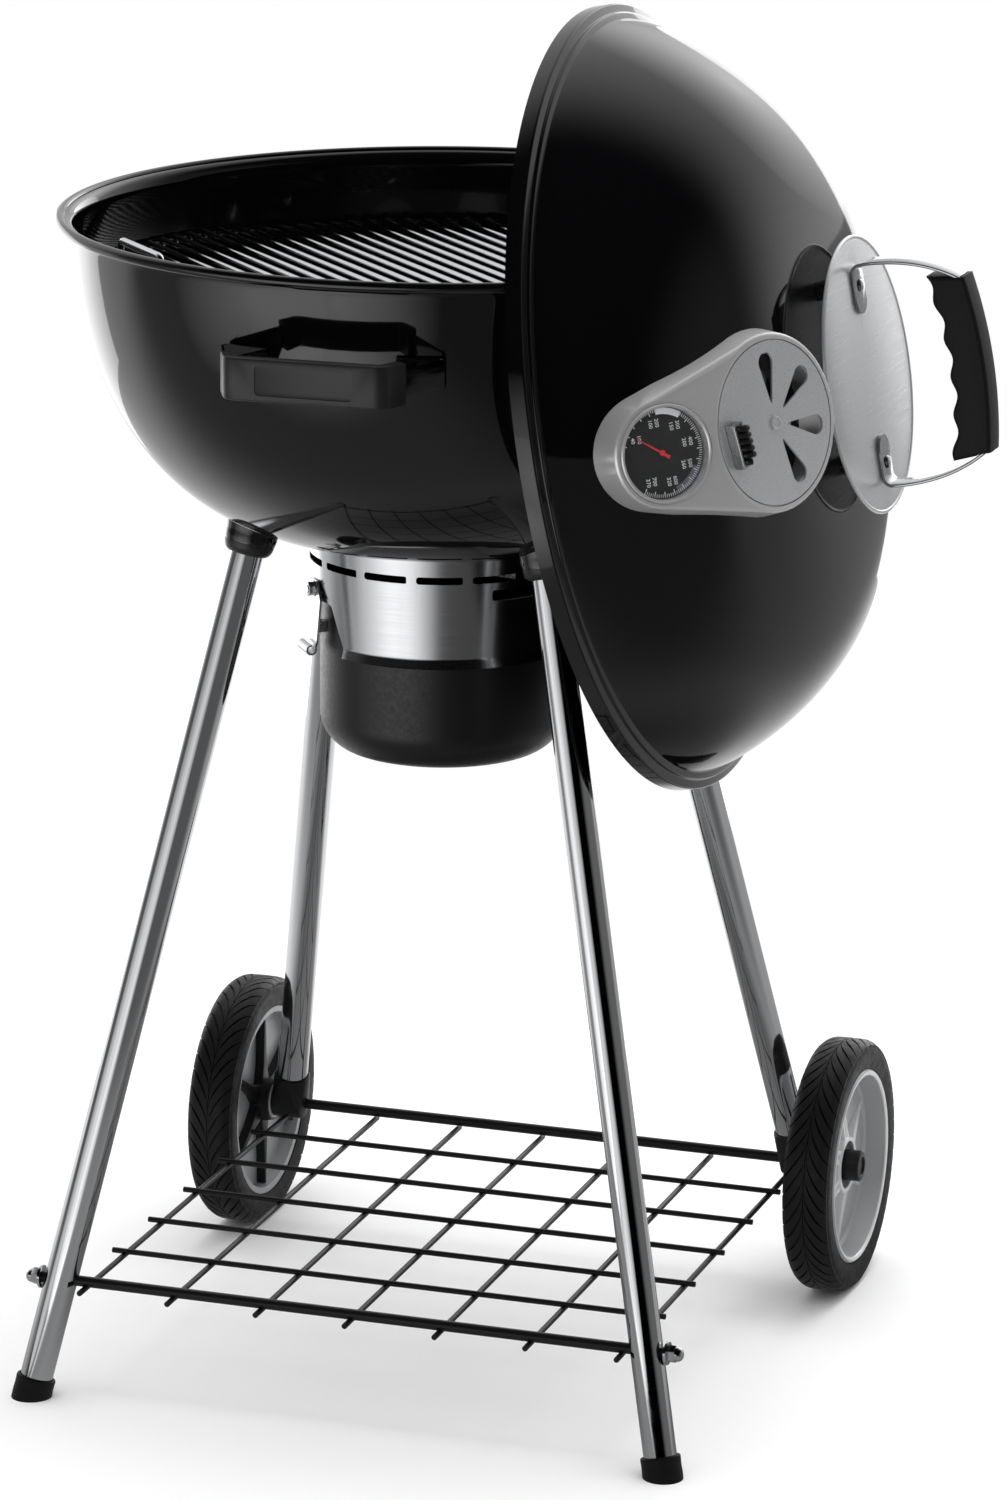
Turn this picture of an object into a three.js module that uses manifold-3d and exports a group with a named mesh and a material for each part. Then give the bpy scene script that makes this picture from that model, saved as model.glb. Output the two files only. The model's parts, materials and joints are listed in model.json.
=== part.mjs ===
// Kettle charcoal grill on a four-leg tube stand, with its domed lid hung upright on the bowl's right rim.
// Millimetres, +Z up, -Y the front (the side of the bowl handle), +X the side where the lid hangs.

import * as THREE from 'three';
import { mergeVertices } from 'three/addons/utils/BufferGeometryUtils.js';
import { ConvexGeometry } from 'three/addons/geometries/ConvexGeometry.js';
import Module from 'manifold-3d';

const wasm = await Module();
wasm.setup();

// ---------- driving dimensions ----------

const GAP = 0.3; // between pieces that touch
const STEEL = 1.6; // enamelled sheet of bowl and lid

const BOWL_RADIUS = 265.8;
const LIP_OUT = 9.7; // from the wall out to the centre line of the rolled bead
const LIP_HEIGHT = 10.8; // the wall flares out to the bead over this height
const RIM_RADIUS = BOWL_RADIUS + LIP_OUT;
const RIM_BEAD = 3.9; // radius of the bead
const RIM_HEIGHT = 854.3;
const BOWL_DEPTH = 225;
const BOWL_SIDE = 0.62; // exponents of the bowl's rounded section
const BOWL_FLOOR = 1.05;
const VENT_HOLES = 3;
const VENT_HOLE_INNER = 28;
const VENT_HOLE_OUTER = 74;
const VENT_HOLE_ANGLE = 38; // degrees

const GRATE_DROP = 45.8; // cooking grate below the rim
const GRATE_WIRE = 2.5; // radius
const GRATE_RING_WIRE = 3;
const GRATE_PLAY = 1.8; // between the ring and the bowl's wall
const GRATE_PITCH = 13.87;
const GRATE_TURN = -45; // degrees, direction of the wires
const HINGE_WIRE = 11; // the flaps hinge on the eleventh wire either side of the middle
const FLAP_BAR_OFFSET = 60;
const LINK_OFFSET = 45; // short wires that tie a flap's last wire to the one before
const LIFT_LOOP_WIDTH = 73;
const LIFT_LOOP_HEIGHT = 39;
const WELD = 0.9; // how far welded wires sink into each other
const COAL_GRATE_DROP = 156;
const COAL_PLAY = 7.7;
const COAL_PITCH = 20;
const TAB_WIDTH = 16; // brackets that carry both grates
const TAB_REACH = 14;
const TAB_THICK = 2.4;

const HANDLE_TURN = 2.5; // degrees that the bowl handle sits off the front centre line
const HANDLE_DROP = 59.3; // below the rim
const HANDLE_STRAP_HEIGHT = 19;
const HANDLE_STRAP_THICK = 2.4;
const HANDLE_REACH = 52.2; // from the bowl's wall to the handle's strap
const HANDLE_STANDOFF = BOWL_RADIUS + HANDLE_REACH;
const HANDLE_HALF = 54;
const HANDLE_ARM = 80;
const HANDLE_FOOT = 34;
const HANDLE_RIVET = 5;
const BOWL_GRIP_HEIGHT = 30;
const BOWL_GRIP_THICK = 9;
const BOWL_GRIP_HALF = 62;
const PLATE_LENGTH = 70;
const PLATE_HEIGHT = 21;
const PLATE_DEPTH = 0.8;

const LEG_RADIUS = 12;
const LEG_WALL = 1.4;
const LEG_START = 7.5; // below the point where its axis meets the bowl
const LEG_CIRCLE = 146; // the legs meet the bowl on this radius
const FRONT_LEG_ANGLE = 49.4; // degrees either side of the front
const REAR_LEG_ANGLE = 51; // degrees either side of the rear
const FRONT_FOOT_X = 242.5;
const FRONT_FOOT_Y = -209.5;
const SOCKET_RADIUS = 17.6;
const SOCKET_FLARE = 4;
const SOCKET_LENGTH = 10; // below the point where the leg's axis meets the bowl
const COLLAR_RADIUS = 16.4;
const COLLAR_LENGTH = 8;
const CAP_RADIUS = 14.6;
const CAP_HEIGHT = 15.5;
const CAP_FLOOR = 4;

const WHEEL_RADIUS = 97;
const WHEEL_INNER_FACE = 222.6;
const WHEEL_WIDTH = 36;
const TYRE_BORE = 75;
const TYRE_CROWN = 3;
const TYRE_SHOULDER = 9;
const WEB_OFFSET = 13.5; // the disc's web, from its inner face
const WEB_THICK = 4;
const HUB_RADIUS = 22;
const HUB_RECESS = 18;
const HUB_PROUD = 7.5;
const HUB_CAP_RADIUS = 12;
const HUB_CAP_LENGTH = 15;
const SPOKES = 6;
const SPOKE_ROOT = 6;

const AXLE_RADIUS = 4;
const AXLE_Y = 231.3;
const BRACKET_X = 208.5; // the rear legs' lower ends
const BRACKET_HALF = 11.5;
const BRACKET_RADIUS = 12;
const LEG_TO_AXLE = 17;
const BRACKET_SLEEVE = 20;

const SHELF_WIRE = 2.1;
const SHELF_ROD = 4;
const SHELF_ROD_Z = 87.5;
const SHELF_PITCH_X = 68.5;
const SHELF_PITCH_Y = 70.6;
const SHELF_DEPTH_WIRES = 7;
const SHELF_CROSS_WIRES = 5;
const SHELF_CROSS_START = 74; // first cross wire behind the front rod
const SHELF_FRONT_STICKOUT = 8;
const SHELF_SIDE_STICKOUT = 9;
const NUT_RADIUS = 6.4;
const NUT_LENGTH = 11;
const WASHER_RADIUS = 8.5;
const WASHER_THICK = 2;

const ASH_COLLAR_TOP = 98; // radius
const ASH_COLLAR_BOTTOM = 94; // radius
const ASH_COLLAR_HEIGHT = 73;
const ASH_COLLAR_LIP = 6.5;
const ASH_COLLAR_LIP_OUT = 2.6;
const ASH_SHEET = 1.2;
const ASH_SLOTS = 15;
const ASH_SLOT_LENGTH = 33.5;
const ASH_SLOT_HEIGHT = 5.4;
const ASH_SLOT_DROP = 14.4; // below the collar's top
const LEVER_SLOT_FROM = -49; // degrees
const LEVER_SLOT_TO = 12;
const LEVER_SLOT_HEIGHT = 8;
const POT_RADIUS = 89.5;
const POT_SHEET = 1.6;
const POT_TOP_DROP = 36; // below the collar's top
const POT_HEIGHT = 124;
const POT_CORNER = 28;
const WINDOW_TOP_DROP = 43;
const WINDOW_HALF_TOP = 14; // degrees
const WINDOW_HALF_BOTTOM = 23;

const LATCH_ANGLES = [-142, 38]; // degrees
const LATCH_BOLT_DROP = 35.5;
const LATCH_LENGTH = 47;
const LATCH_WIDTH = 29;
const LATCH_SHEET = 1.5;
const LATCH_CURL = 4;
const LATCH_TAB = 8;
const LATCH_TAB_DROP = 28;
const BOLT_RADIUS = 3;
const BOLT_HEAD = 5.2;
const BOLT_HEAD_LENGTH = 5;

const SPINDLE_RADIUS = 4;
const VANE_RADIUS = 80;
const VANE_ANGLE = 42;
const VANE_THICK = 1.8;
const LEVER_DROP = 26.5; // below the collar's top
const LEVER_ANGLE = -12;
const LEVER_WIDTH = 11;
const LEVER_THICK = 3;
const LEVER_REACH = 158;
const KNOB_RADIUS = 8;

const LID_OVERHANG = 5.3; // beyond the middle of the bowl's bead
const LID_RADIUS = RIM_RADIUS + LID_OVERHANG;
const LID_BAND = 11.5; // height of the rim band
const LID_STEP = 3.6; // height of the narrow step above it
const BAND_OUT = 10.2; // from the dome's side out to the rim band
const DOME_RADIUS = LID_RADIUS - BAND_OUT;
const DOME_START = 12.2;
const DOME_HEIGHT = 137.8;
const DOME_SIDE = 0.51; // exponents of the dome's flattened section
const DOME_CROWN = 1.7;
const LID_TILT = 10.2; // degrees that the hung lid leans back
const HANG_OFFSET = 98.3; // the rim passes this far above the lid's axis
const HANG_CLEARANCE = 0.8;
const HOOK_SHEET = 2.3;
const HOOK_WIDTH = 30;
const HOOK_TIP = 15;
const HOOK_TAIL = 28;

const SHIELD_RADIUS = 99;
const SHIELD_SHEET = 1.4;
const SHIELD_STANDOFF = 16; // its front face above the top of the dome
const SHIELD_HEIGHT = DOME_START + DOME_HEIGHT + SHIELD_STANDOFF;
const SPACER_RADIUS = 7;
const LID_RIVET_RADIUS = 4.6;
const LID_RIVET_HEAD = 2.2;
const LID_RIVET_OFFSET = 63.5;
const LID_STRAP_WIDTH = 24;
const LID_STRAP_THICK = 2.4;
const LID_STRAP_HALF = 79.5;
const LID_STRAP_FOOT = 36;
const LID_STRAP_REACH = 80;
const LID_STRAP_TOP_HALF = 61;
const LID_GRIP_WIDTH = 27;
const LID_GRIP_DEPTH = 27;
const LID_GRIP_HALF = 64;
const LID_GRIP_BACK = 3; // rubber behind the strap
const FINGER_GROOVES = 5;
const FINGER_GROOVE_DEPTH = 1.8;

const VENT_INSET = 105.8; // vent disc centre in from the dome's side
const VENT_STANDOFF = 11.69; // above the dome's outer face there
const VENT_TILT = 24.5; // degrees
const THERMO_INSET = 24.8;
const THERMO_STANDOFF = 29.8;
const THERMO_TILT = 45.5;
const HOUSING_VENT_RADIUS = 62;
const HOUSING_THERMO_RADIUS = 38;
const HOUSING_DRAFT = 11;
const HOUSING_DEPTH = 60;
const VENT_DISC_RADIUS = 56.5;
const VENT_DISC_SHEET = 1.6;
const VENT_BORE = 48;
const VENT_SLOTS = 4;
const VENT_SLOT_STEP = 52; // degrees
const VENT_FAN_ANGLE = 192; // middle of the fan of slots, from the front and turning down
const VENT_SLOT_INNER = 11;
const VENT_SLOT_OUTER = 42;
const VENT_SLOT_END = 7;
const VENT_RIVET = 5.2;
const TAB_COIL_RADIUS = 6;
const TAB_COIL_LENGTH = 30;
const TAB_OFFSET = 41;
const TAB_ANGLE = 8; // degrees, as below
const TAB_PLATE_THICK = 2;
const TAB_PLATE_HEIGHT = 9;

const CASE_RADIUS = 34;
const CASE_WALL = 2.4;
const CASE_DEPTH = 10;
const CASE_PROUD = 2;
const DIAL_SHEET = 1;
const LENS_SHEET = 1.4;
const NEEDLE_LENGTH = 19;
const NEEDLE_TAIL = 7;
const NEEDLE_WIDTH = 2.4;
const NEEDLE_SHEET = 0.8;
const NEEDLE_ANGLE = -38; // degrees, from the front and turning down

const ROUND = 32; // sides of the big turned pieces
const WHEEL_ROUND = 24;
const DIAL_ROUND = 24;
const TUBE_ROUND = 16;
const SMALL_ROUND = 12;
const WIRE_ROUND = 5;
const PROFILE_STEPS = 8;

// ---------- materials ----------

const finish = (color, roughness, metalness) => new THREE.MeshStandardMaterial({ color, roughness, metalness });
const ENAMEL = finish('#0b0b0c', 0.12, 0);
const CHROME = finish('#d9dadc', 0.1, 1);
const STAINLESS = finish('#b9babb', 0.32, 1);
const CAST_SILVER = finish('#b4b5b6', 0.38, 0.9);
const BLACK_PLASTIC = finish('#141415', 0.5, 0);
const RUBBER = finish('#1a1a1b', 0.75, 0);
const BLACK_PAINT = finish('#101011', 0.45, 0);
const WHEEL_SILVER = finish('#9d9fa1', 0.45, 0.7);
const GLASS = finish('#e8eef0', 0.05, 0);
const DIAL_BLACK = finish('#17191c', 0.5, 0);
const NEEDLE_RED = finish('#c3202b', 0.45, 0);

// ---------- small geometry tools ----------

const rad = THREE.MathUtils.degToRad;
const vec = (x, y, z) => new THREE.Vector3(x, y, z);
const flat = (x, y) => new THREE.Vector2(x, y);

/** Points of an arc in the plane, angles in degrees. */
function arc(cx, cy, radius, from, to, steps) {
  return Array.from({ length: steps + 1 }, (_, i) => {
    const angle = rad(from + ((to - from) * i) / steps);
    return flat(cx + radius * Math.cos(angle), cy + radius * Math.sin(angle));
  });
}

/** A flat line moved sideways by a distance, to its left where the distance is positive. */
function offsetLine(points, distance) {
  return points.map((point, i) => {
    const before = points[Math.max(i - 1, 0)];
    const after = points[Math.min(i + 1, points.length - 1)];
    const along = after.clone().sub(before).normalize();
    return flat(point.x - along.y * distance, point.y + along.x * distance);
  });
}

/** Turns every triangle round where the solid's faces point in. */
function outward(geometry) {
  const solid = geometry.index ? geometry.toNonIndexed() : geometry;
  const p = solid.attributes.position;
  const [a, b, c] = [vec(0, 0, 0), vec(0, 0, 0), vec(0, 0, 0)];
  let volume = 0;
  for (let i = 0; i < p.count; i += 3) {
    a.fromBufferAttribute(p, i);
    b.fromBufferAttribute(p, i + 1);
    c.fromBufferAttribute(p, i + 2);
    volume += a.dot(b.cross(c));
  }
  if (volume > 0) return solid;
  for (let i = 0; i < p.count; i += 3) {
    b.fromBufferAttribute(p, i + 1);
    c.fromBufferAttribute(p, i + 2);
    p.setXYZ(i + 1, c.x, c.y, c.z);
    p.setXYZ(i + 2, b.x, b.y, b.z);
  }
  return solid;
}

function toSolid(geometry) {
  const source = outward(geometry.clone());
  source.deleteAttribute('normal');
  source.deleteAttribute('uv');
  const merged = mergeVertices(source, 1e-3);
  const index = merged.index.array;
  const triangles = [];
  for (let i = 0; i < index.length; i += 3) {
    const [a, b, c] = [index[i], index[i + 1], index[i + 2]];
    if (a !== b && b !== c && c !== a) triangles.push(a, b, c);
  }
  return new wasm.Manifold(new wasm.Mesh({
    numProp: 3,
    vertProperties: new Float32Array(merged.attributes.position.array),
    triVerts: new Uint32Array(triangles),
  }));
}

function toGeometry(solid) {
  const mesh = solid.getMesh();
  const geometry = new THREE.BufferGeometry();
  geometry.setAttribute('position', new THREE.BufferAttribute(new Float32Array(mesh.vertProperties), 3));
  geometry.setIndex(new THREE.BufferAttribute(new Uint32Array(mesh.triVerts), 1));
  geometry.computeVertexNormals();
  return geometry;
}

const join = (...parts) => toGeometry(parts.map(toSolid).reduce((whole, part) => whole.add(part)));
const cut = (body, ...tools) => toGeometry(tools.map(toSolid).reduce((whole, tool) => whole.subtract(tool), toSolid(body)));

/** A turned solid about +Z from a profile of (radius, height) points. */
function turned(profile, sides = ROUND) {
  const geometry = outward(new THREE.LatheGeometry(profile, sides).rotateX(Math.PI / 2));
  return geometry;
}

/** A turned ring: its profile closes on itself, away from the axis. */
const turnedRing = (profile, sides = ROUND) => turned([...profile, profile[0].clone()], sides);

/** A cylinder about +Z between two heights. */
const disc = (radius, from, to, sides = ROUND) =>
  turned([flat(0, from), flat(radius, from), flat(radius, to), flat(0, to)], sides);

/** A hollow cylinder about +Z. */
const pipe = (outer, inner, from, to, sides = TUBE_ROUND) =>
  turnedRing([flat(inner, from), flat(outer, from), flat(outer, to), flat(inner, to)], sides);

/** Moves a piece made about +Z so that it starts at one point and looks towards another. */
function along(geometry, from, to) {
  const turn = new THREE.Quaternion().setFromUnitVectors(vec(0, 0, 1), to.clone().sub(from).normalize());
  return geometry.clone().applyQuaternion(turn).translate(from.x, from.y, from.z);
}

/** A round wire between two points. */
const wire = (from, to, radius, sides = WIRE_ROUND) => along(disc(radius, 0, from.distanceTo(to), sides), from, to);

/** A flat outline given its height along +Z. */
function plate(outline, from, to) {
  return outward(new THREE.ExtrudeGeometry(new THREE.Shape(outline), { depth: to - from, bevelEnabled: false })
    .translate(0, 0, from));
}

const block = (x0, x1, y0, y1, z0, z1) =>
  new THREE.BoxGeometry(x1 - x0, y1 - y0, z1 - z0).translate((x0 + x1) / 2, (y0 + y1) / 2, (z0 + z1) / 2);

/** A strip of even thickness on a flat line, given its height along +Z. */
const strip = (line, thickness, from, to) =>
  plate([...offsetLine(line, thickness / 2), ...offsetLine(line, -thickness / 2).reverse()], from, to);

/** A prism that widens out from the Z axis: its outline is in degrees round the axis and height. */
function radialPrism(outline, inner, outer) {
  const ring = (radius) => outline.map(([angle, z]) => vec(radius * Math.cos(rad(angle)), radius * Math.sin(rad(angle)), z));
  const [near, far] = [ring(inner), ring(outer)];
  const n = outline.length;
  const faces = THREE.ShapeUtils.triangulateShape(outline.map(([a, z]) => flat(a, z)), []);
  const triangles = [];
  for (const [a, b, c] of faces) triangles.push(near[a], near[c], near[b], far[a], far[b], far[c]);
  for (let i = 0; i < n; i++) {
    const j = (i + 1) % n;
    triangles.push(near[i], near[j], far[j], near[i], far[j], far[i]);
  }
  return outward(new THREE.BufferGeometry().setFromPoints(triangles));
}

const turnZ = (geometry, degrees) => geometry.clone().rotateZ(rad(degrees));

// ---------- sections of bowl and dome ----------

const bowlTop = RIM_HEIGHT - LIP_HEIGHT;

/** Outer line of the bowl from its floor on the axis up to the lip. */
function bowlLine() {
  return Array.from({ length: PROFILE_STEPS + 1 }, (_, i) => {
    const angle = (Math.PI / 2) * (1 - i / PROFILE_STEPS);
    const radius = i === 0 ? 0 : BOWL_RADIUS * Math.cos(angle) ** BOWL_SIDE;
    return flat(radius, bowlTop - BOWL_DEPTH * Math.sin(angle) ** BOWL_FLOOR);
  });
}

/** Reads one coordinate of a line where its other coordinate, which only grows along it, has a value. */
function readLine(line, value, given, wanted) {
  const i = Math.min(Math.max(line.findIndex((p) => p[given] > value), 1), line.length - 1);
  const share = (value - line[i - 1][given]) / (line[i][given] - line[i - 1][given]);
  return THREE.MathUtils.lerp(line[i - 1][wanted], line[i][wanted], share);
}

const bowlRadiusAt = (z) => readLine(bowlLine(), z, 'y', 'x'); // of the outer side
const bowlHeightAt = (radius) => readLine(bowlLine(), radius, 'x', 'y'); // of the underside
const bowlInsideAt = (z) => readLine(offsetLine(bowlLine(), STEEL), z, 'y', 'x') * Math.cos(Math.PI / ROUND);
const bowlFloorAt = (radius) => readLine(offsetLine(bowlLine(), STEEL), radius, 'x', 'y'); // upper side

function lipLine() {
  const end = flat(RIM_RADIUS - RIM_BEAD / 2, RIM_HEIGHT);
  return new THREE.QuadraticBezierCurve(flat(BOWL_RADIUS, bowlTop), flat(BOWL_RADIUS, RIM_HEIGHT), end)
    .getPoints(3).slice(1);
}

/** The bowl's own room with everything above it, grown by a gap, to trim what is fitted under it. */
function bowlCutter() {
  const line = offsetLine(bowlLine(), -GAP);
  line[0].x = 0;
  return turned([...line, flat(BOWL_RADIUS + GAP, RIM_HEIGHT), flat(0, RIM_HEIGHT)]);
}

/** Outer line of the lid from its rim to the top of its dome, above the rim plane. */
function lidLine() {
  const stepRadius = (LID_RADIUS + DOME_RADIUS) / 2 - STEEL;
  const stepTop = LID_BAND + LID_STEP;
  const dome = [];
  for (let i = 0; i <= PROFILE_STEPS; i++) {
    const angle = (Math.PI / 2) * (i / PROFILE_STEPS);
    const point = flat(DOME_RADIUS * Math.cos(angle) ** DOME_SIDE, DOME_START + DOME_HEIGHT * Math.sin(angle) ** DOME_CROWN);
    if (point.y > stepTop + STEEL) dome.push(point);
  }
  dome[dome.length - 1].x = 0;
  return [flat(LID_RADIUS, 0), flat(LID_RADIUS, LID_BAND), flat(stepRadius, LID_BAND + STEEL),
    flat(stepRadius, stepTop), ...dome];
}

const domeHeightAt = (radius) => readLine(lidLine().reverse(), radius, 'x', 'y'); // outer face

// ---------- bowl ----------

function bowl() {
  const outer = [...bowlLine(), ...lipLine()];
  const inner = offsetLine(outer, STEEL);
  inner[0].x = 0;
  const bead = arc(RIM_RADIUS, RIM_HEIGHT, RIM_BEAD, -150, 150, 5);
  const shell = turned([...outer.slice(0, -1), ...bead, ...inner.slice(0, -1).reverse()]);
  const floor = bowlHeightAt(0);
  const holes = Array.from({ length: VENT_HOLES }, (_, i) => {
    const middle = (360 / VENT_HOLES) * i;
    const [from, to] = [middle - VENT_HOLE_ANGLE / 2, middle + VENT_HOLE_ANGLE / 2];
    const outline = [...arc(0, 0, VENT_HOLE_OUTER, from, to, 4), ...arc(0, 0, VENT_HOLE_INNER, to, from, 2)];
    return plate(outline, floor - STEEL, floor + 4 * STEEL);
  });
  const spindleHole = disc(SPINDLE_RADIUS + 2 * GAP, floor - STEEL, floor + 4 * STEEL, SMALL_ROUND);
  const rivetHoles = [-1, 1].map((side) => handlePlace(handleRivetHole(side)));
  return cut(shell, ...holes, spindleHole, ...rivetHoles);
}

const handleZ = RIM_HEIGHT - HANDLE_DROP;
const handleFootRadius = bowlRadiusAt(handleZ + HANDLE_STRAP_HEIGHT / 2);
const handleRivetX = HANDLE_ARM - HANDLE_FOOT / 2;

/** Puts a piece of the bowl handle, made with its front towards -Y, at its place round the bowl. */
const handlePlace = (geometry) => geometry.clone().rotateZ(rad(HANDLE_TURN)).translate(0, 0, handleZ);

/** Distance of the strap's middle from the bowl's axis where it lies on the bowl. */
const handleSeatY = (x) => -(Math.sqrt(handleFootRadius ** 2 - x * x) + HANDLE_STRAP_THICK / 2 + 2 * GAP);

function handleLine() {
  const foot = [HANDLE_ARM - HANDLE_FOOT, handleRivetX, HANDLE_ARM - HANDLE_STRAP_THICK];
  const half = [...foot.map((x) => flat(x, handleSeatY(x))), flat(HANDLE_ARM, handleSeatY(HANDLE_ARM) - 2 * HANDLE_STRAP_THICK),
    flat(HANDLE_HALF + BOWL_GRIP_THICK, -HANDLE_STANDOFF + 2 * BOWL_GRIP_THICK),
    flat(HANDLE_HALF, -HANDLE_STANDOFF)];
  const left = half.map((p) => flat(-p.x, p.y));
  return [...left, ...half.reverse()];
}

/** Puts a piece turned about +Z on a rivet's axis, square to the wall: its zero is the strap's middle. */
function onHandleRivet(geometry, side) {
  const seat = vec(side * handleRivetX, handleSeatY(handleRivetX), 0);
  return along(geometry, seat, seat.clone().multiplyScalar(2));
}

const handleRivetHole = (side) =>
  onHandleRivet(disc(HANDLE_RIVET / 2 + GAP, -5 * STEEL, 2 * STEEL, SMALL_ROUND), side);

function handleStrap() {
  const half = HANDLE_STRAP_HEIGHT / 2;
  const bar = strip(handleLine(), HANDLE_STRAP_THICK, -half, half);
  return handlePlace(cut(bar, handleRivetHole(-1), handleRivetHole(1)));
}

function handleGrip() {
  const half = BOWL_GRIP_HEIGHT / 2;
  const line = [flat(-BOWL_GRIP_HALF, -HANDLE_STANDOFF + 2 * BOWL_GRIP_THICK), flat(-HANDLE_HALF, -HANDLE_STANDOFF),
    flat(HANDLE_HALF, -HANDLE_STANDOFF), flat(BOWL_GRIP_HALF, -HANDLE_STANDOFF + 2 * BOWL_GRIP_THICK)];
  const body = strip(line, BOWL_GRIP_THICK, -half, half);
  const channelHalf = HANDLE_STRAP_HEIGHT / 2 + GAP;
  const channel = strip(handleLine(), HANDLE_STRAP_THICK + 2 * GAP, -channelHalf, channelHalf);
  const front = -HANDLE_STANDOFF - BOWL_GRIP_THICK / 2;
  const recess = block(-PLATE_LENGTH / 2, PLATE_LENGTH / 2, front - PLATE_DEPTH, front + PLATE_DEPTH,
    -PLATE_HEIGHT / 2, PLATE_HEIGHT / 2);
  return handlePlace(cut(body, channel, recess));
}

function handleRivet(side) {
  const face = HANDLE_STRAP_THICK / 2 + 2 * GAP;
  const profile = [flat(0, -face - STEEL - 2 * GAP), flat(HANDLE_RIVET / 2, -face - STEEL - 2 * GAP),
    flat(HANDLE_RIVET / 2, face), flat(HANDLE_RIVET, face), flat(HANDLE_RIVET * 0.8, face + STEEL), flat(0, face + 2)];
  return handlePlace(onHandleRivet(turned(profile, SMALL_ROUND), side));
}

// ---------- grates ----------

const grateZ = RIM_HEIGHT - GRATE_DROP;
const grateRingZ = grateZ - GRATE_WIRE - GRATE_RING_WIRE + WELD;
const coalZ = RIM_HEIGHT - COAL_GRATE_DROP;
const coalRingZ = coalZ - GRATE_WIRE - GRATE_RING_WIRE + WELD;
const flapZ = grateZ + WELD + GAP;
const grateRing = bowlInsideAt(grateRingZ) - GRATE_RING_WIRE - GRATE_PLAY;
const coalRing = bowlInsideAt(coalRingZ) - GRATE_RING_WIRE - COAL_PLAY;

/** One wire along the local X direction at a sideways place, ending on a ring. */
function chord(across, ring, z, radius = GRATE_WIRE) {
  const half = Math.sqrt(ring * ring - across * across) + radius / 2;
  return wire(vec(-half, across, z), vec(half, across, z), radius);
}

const wireRing = (radius, z, thickness) => turnedRing(arc(radius, z, thickness, 30, 330, 5));
const numbers = (from, to) => Array.from({ length: to - from + 1 }, (_, i) => from + i);

function cookingGrate() {
  const chords = numbers(-HINGE_WIRE, HINGE_WIRE).map((i) => chord(i * GRATE_PITCH, grateRing, grateZ));
  return turnZ(join(wireRing(grateRing, grateRingZ, GRATE_RING_WIRE), ...chords), GRATE_TURN);
}

/** Hinged part of the cooking grate beyond the hinge wire, with the loop that lifts it. */
function grateFlap(side) {
  const last = Math.floor((grateRing - GRATE_RING_WIRE) / GRATE_PITCH);
  const chords = numbers(HINGE_WIRE + 1, last).map((i) => chord(i * GRATE_PITCH, grateRing, flapZ));
  const barZ = flapZ - 2 * GRATE_WIRE + WELD;
  const barFrom = (HINGE_WIRE + 0.5) * GRATE_PITCH;
  const ringEdge = grateRing - GRATE_RING_WIRE - GAP;
  const barTo = Math.sqrt(ringEdge ** 2 - (FLAP_BAR_OFFSET + GRATE_WIRE) ** 2) - GRATE_WIRE;
  const bars = [-1, 1].map((s) => wire(vec(s * FLAP_BAR_OFFSET, barFrom, barZ), vec(s * FLAP_BAR_OFFSET, barTo, barZ), GRATE_WIRE));
  const eyes = [-1, 1].map((s) => hingeEye(s * FLAP_BAR_OFFSET, barFrom, barZ));
  const loopY = (last - 1) * GRATE_PITCH;
  const links = [-1, 1].map((s) => wire(vec(s * LINK_OFFSET, loopY, flapZ), vec(s * LINK_OFFSET, last * GRATE_PITCH, flapZ),
    GRATE_WIRE));
  const half = LIFT_LOOP_WIDTH / 2;
  const loop = [wire(vec(-half, loopY, flapZ), vec(-half, loopY, flapZ + LIFT_LOOP_HEIGHT), GRATE_WIRE),
    wire(vec(half, loopY, flapZ), vec(half, loopY, flapZ + LIFT_LOOP_HEIGHT), GRATE_WIRE),
    wire(vec(-half - GRATE_WIRE, loopY, flapZ + LIFT_LOOP_HEIGHT), vec(half + GRATE_WIRE, loopY, flapZ + LIFT_LOOP_HEIGHT),
      GRATE_WIRE)];
  return turnZ(join(...chords, ...bars, ...links, ...eyes, ...loop), GRATE_TURN + (side < 0 ? 180 : 0));
}

/** A wire eye that wraps over the hinge wire, open below. */
function hingeEye(x, barFrom, barZ) {
  const eyeRadius = 2 * GRATE_WIRE + GAP;
  const hingeY = HINGE_WIRE * GRATE_PITCH;
  const line = arc(hingeY, grateZ, eyeRadius, 180, 0, 6);
  const drop = flat(barFrom + GRATE_WIRE, barZ);
  const points = [...line.slice(0, -1), flat(hingeY + eyeRadius, barZ + GRATE_WIRE), drop];
  const bar = strip(points, 2 * GRATE_WIRE, -GRATE_WIRE, GRATE_WIRE);
  const turn = new THREE.Matrix4().makeBasis(vec(0, 1, 0), vec(0, 0, 1), vec(1, 0, 0));
  return bar.applyMatrix4(turn).translate(x, 0, 0);
}

function charcoalGrate() {
  const count = Math.floor((coalRing - GRATE_RING_WIRE) / COAL_PITCH);
  const chords = numbers(-count, count).map((i) => chord(i * COAL_PITCH, coalRing, coalZ));
  return join(wireRing(coalRing, coalRingZ, GRATE_RING_WIRE), ...chords);
}

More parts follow.
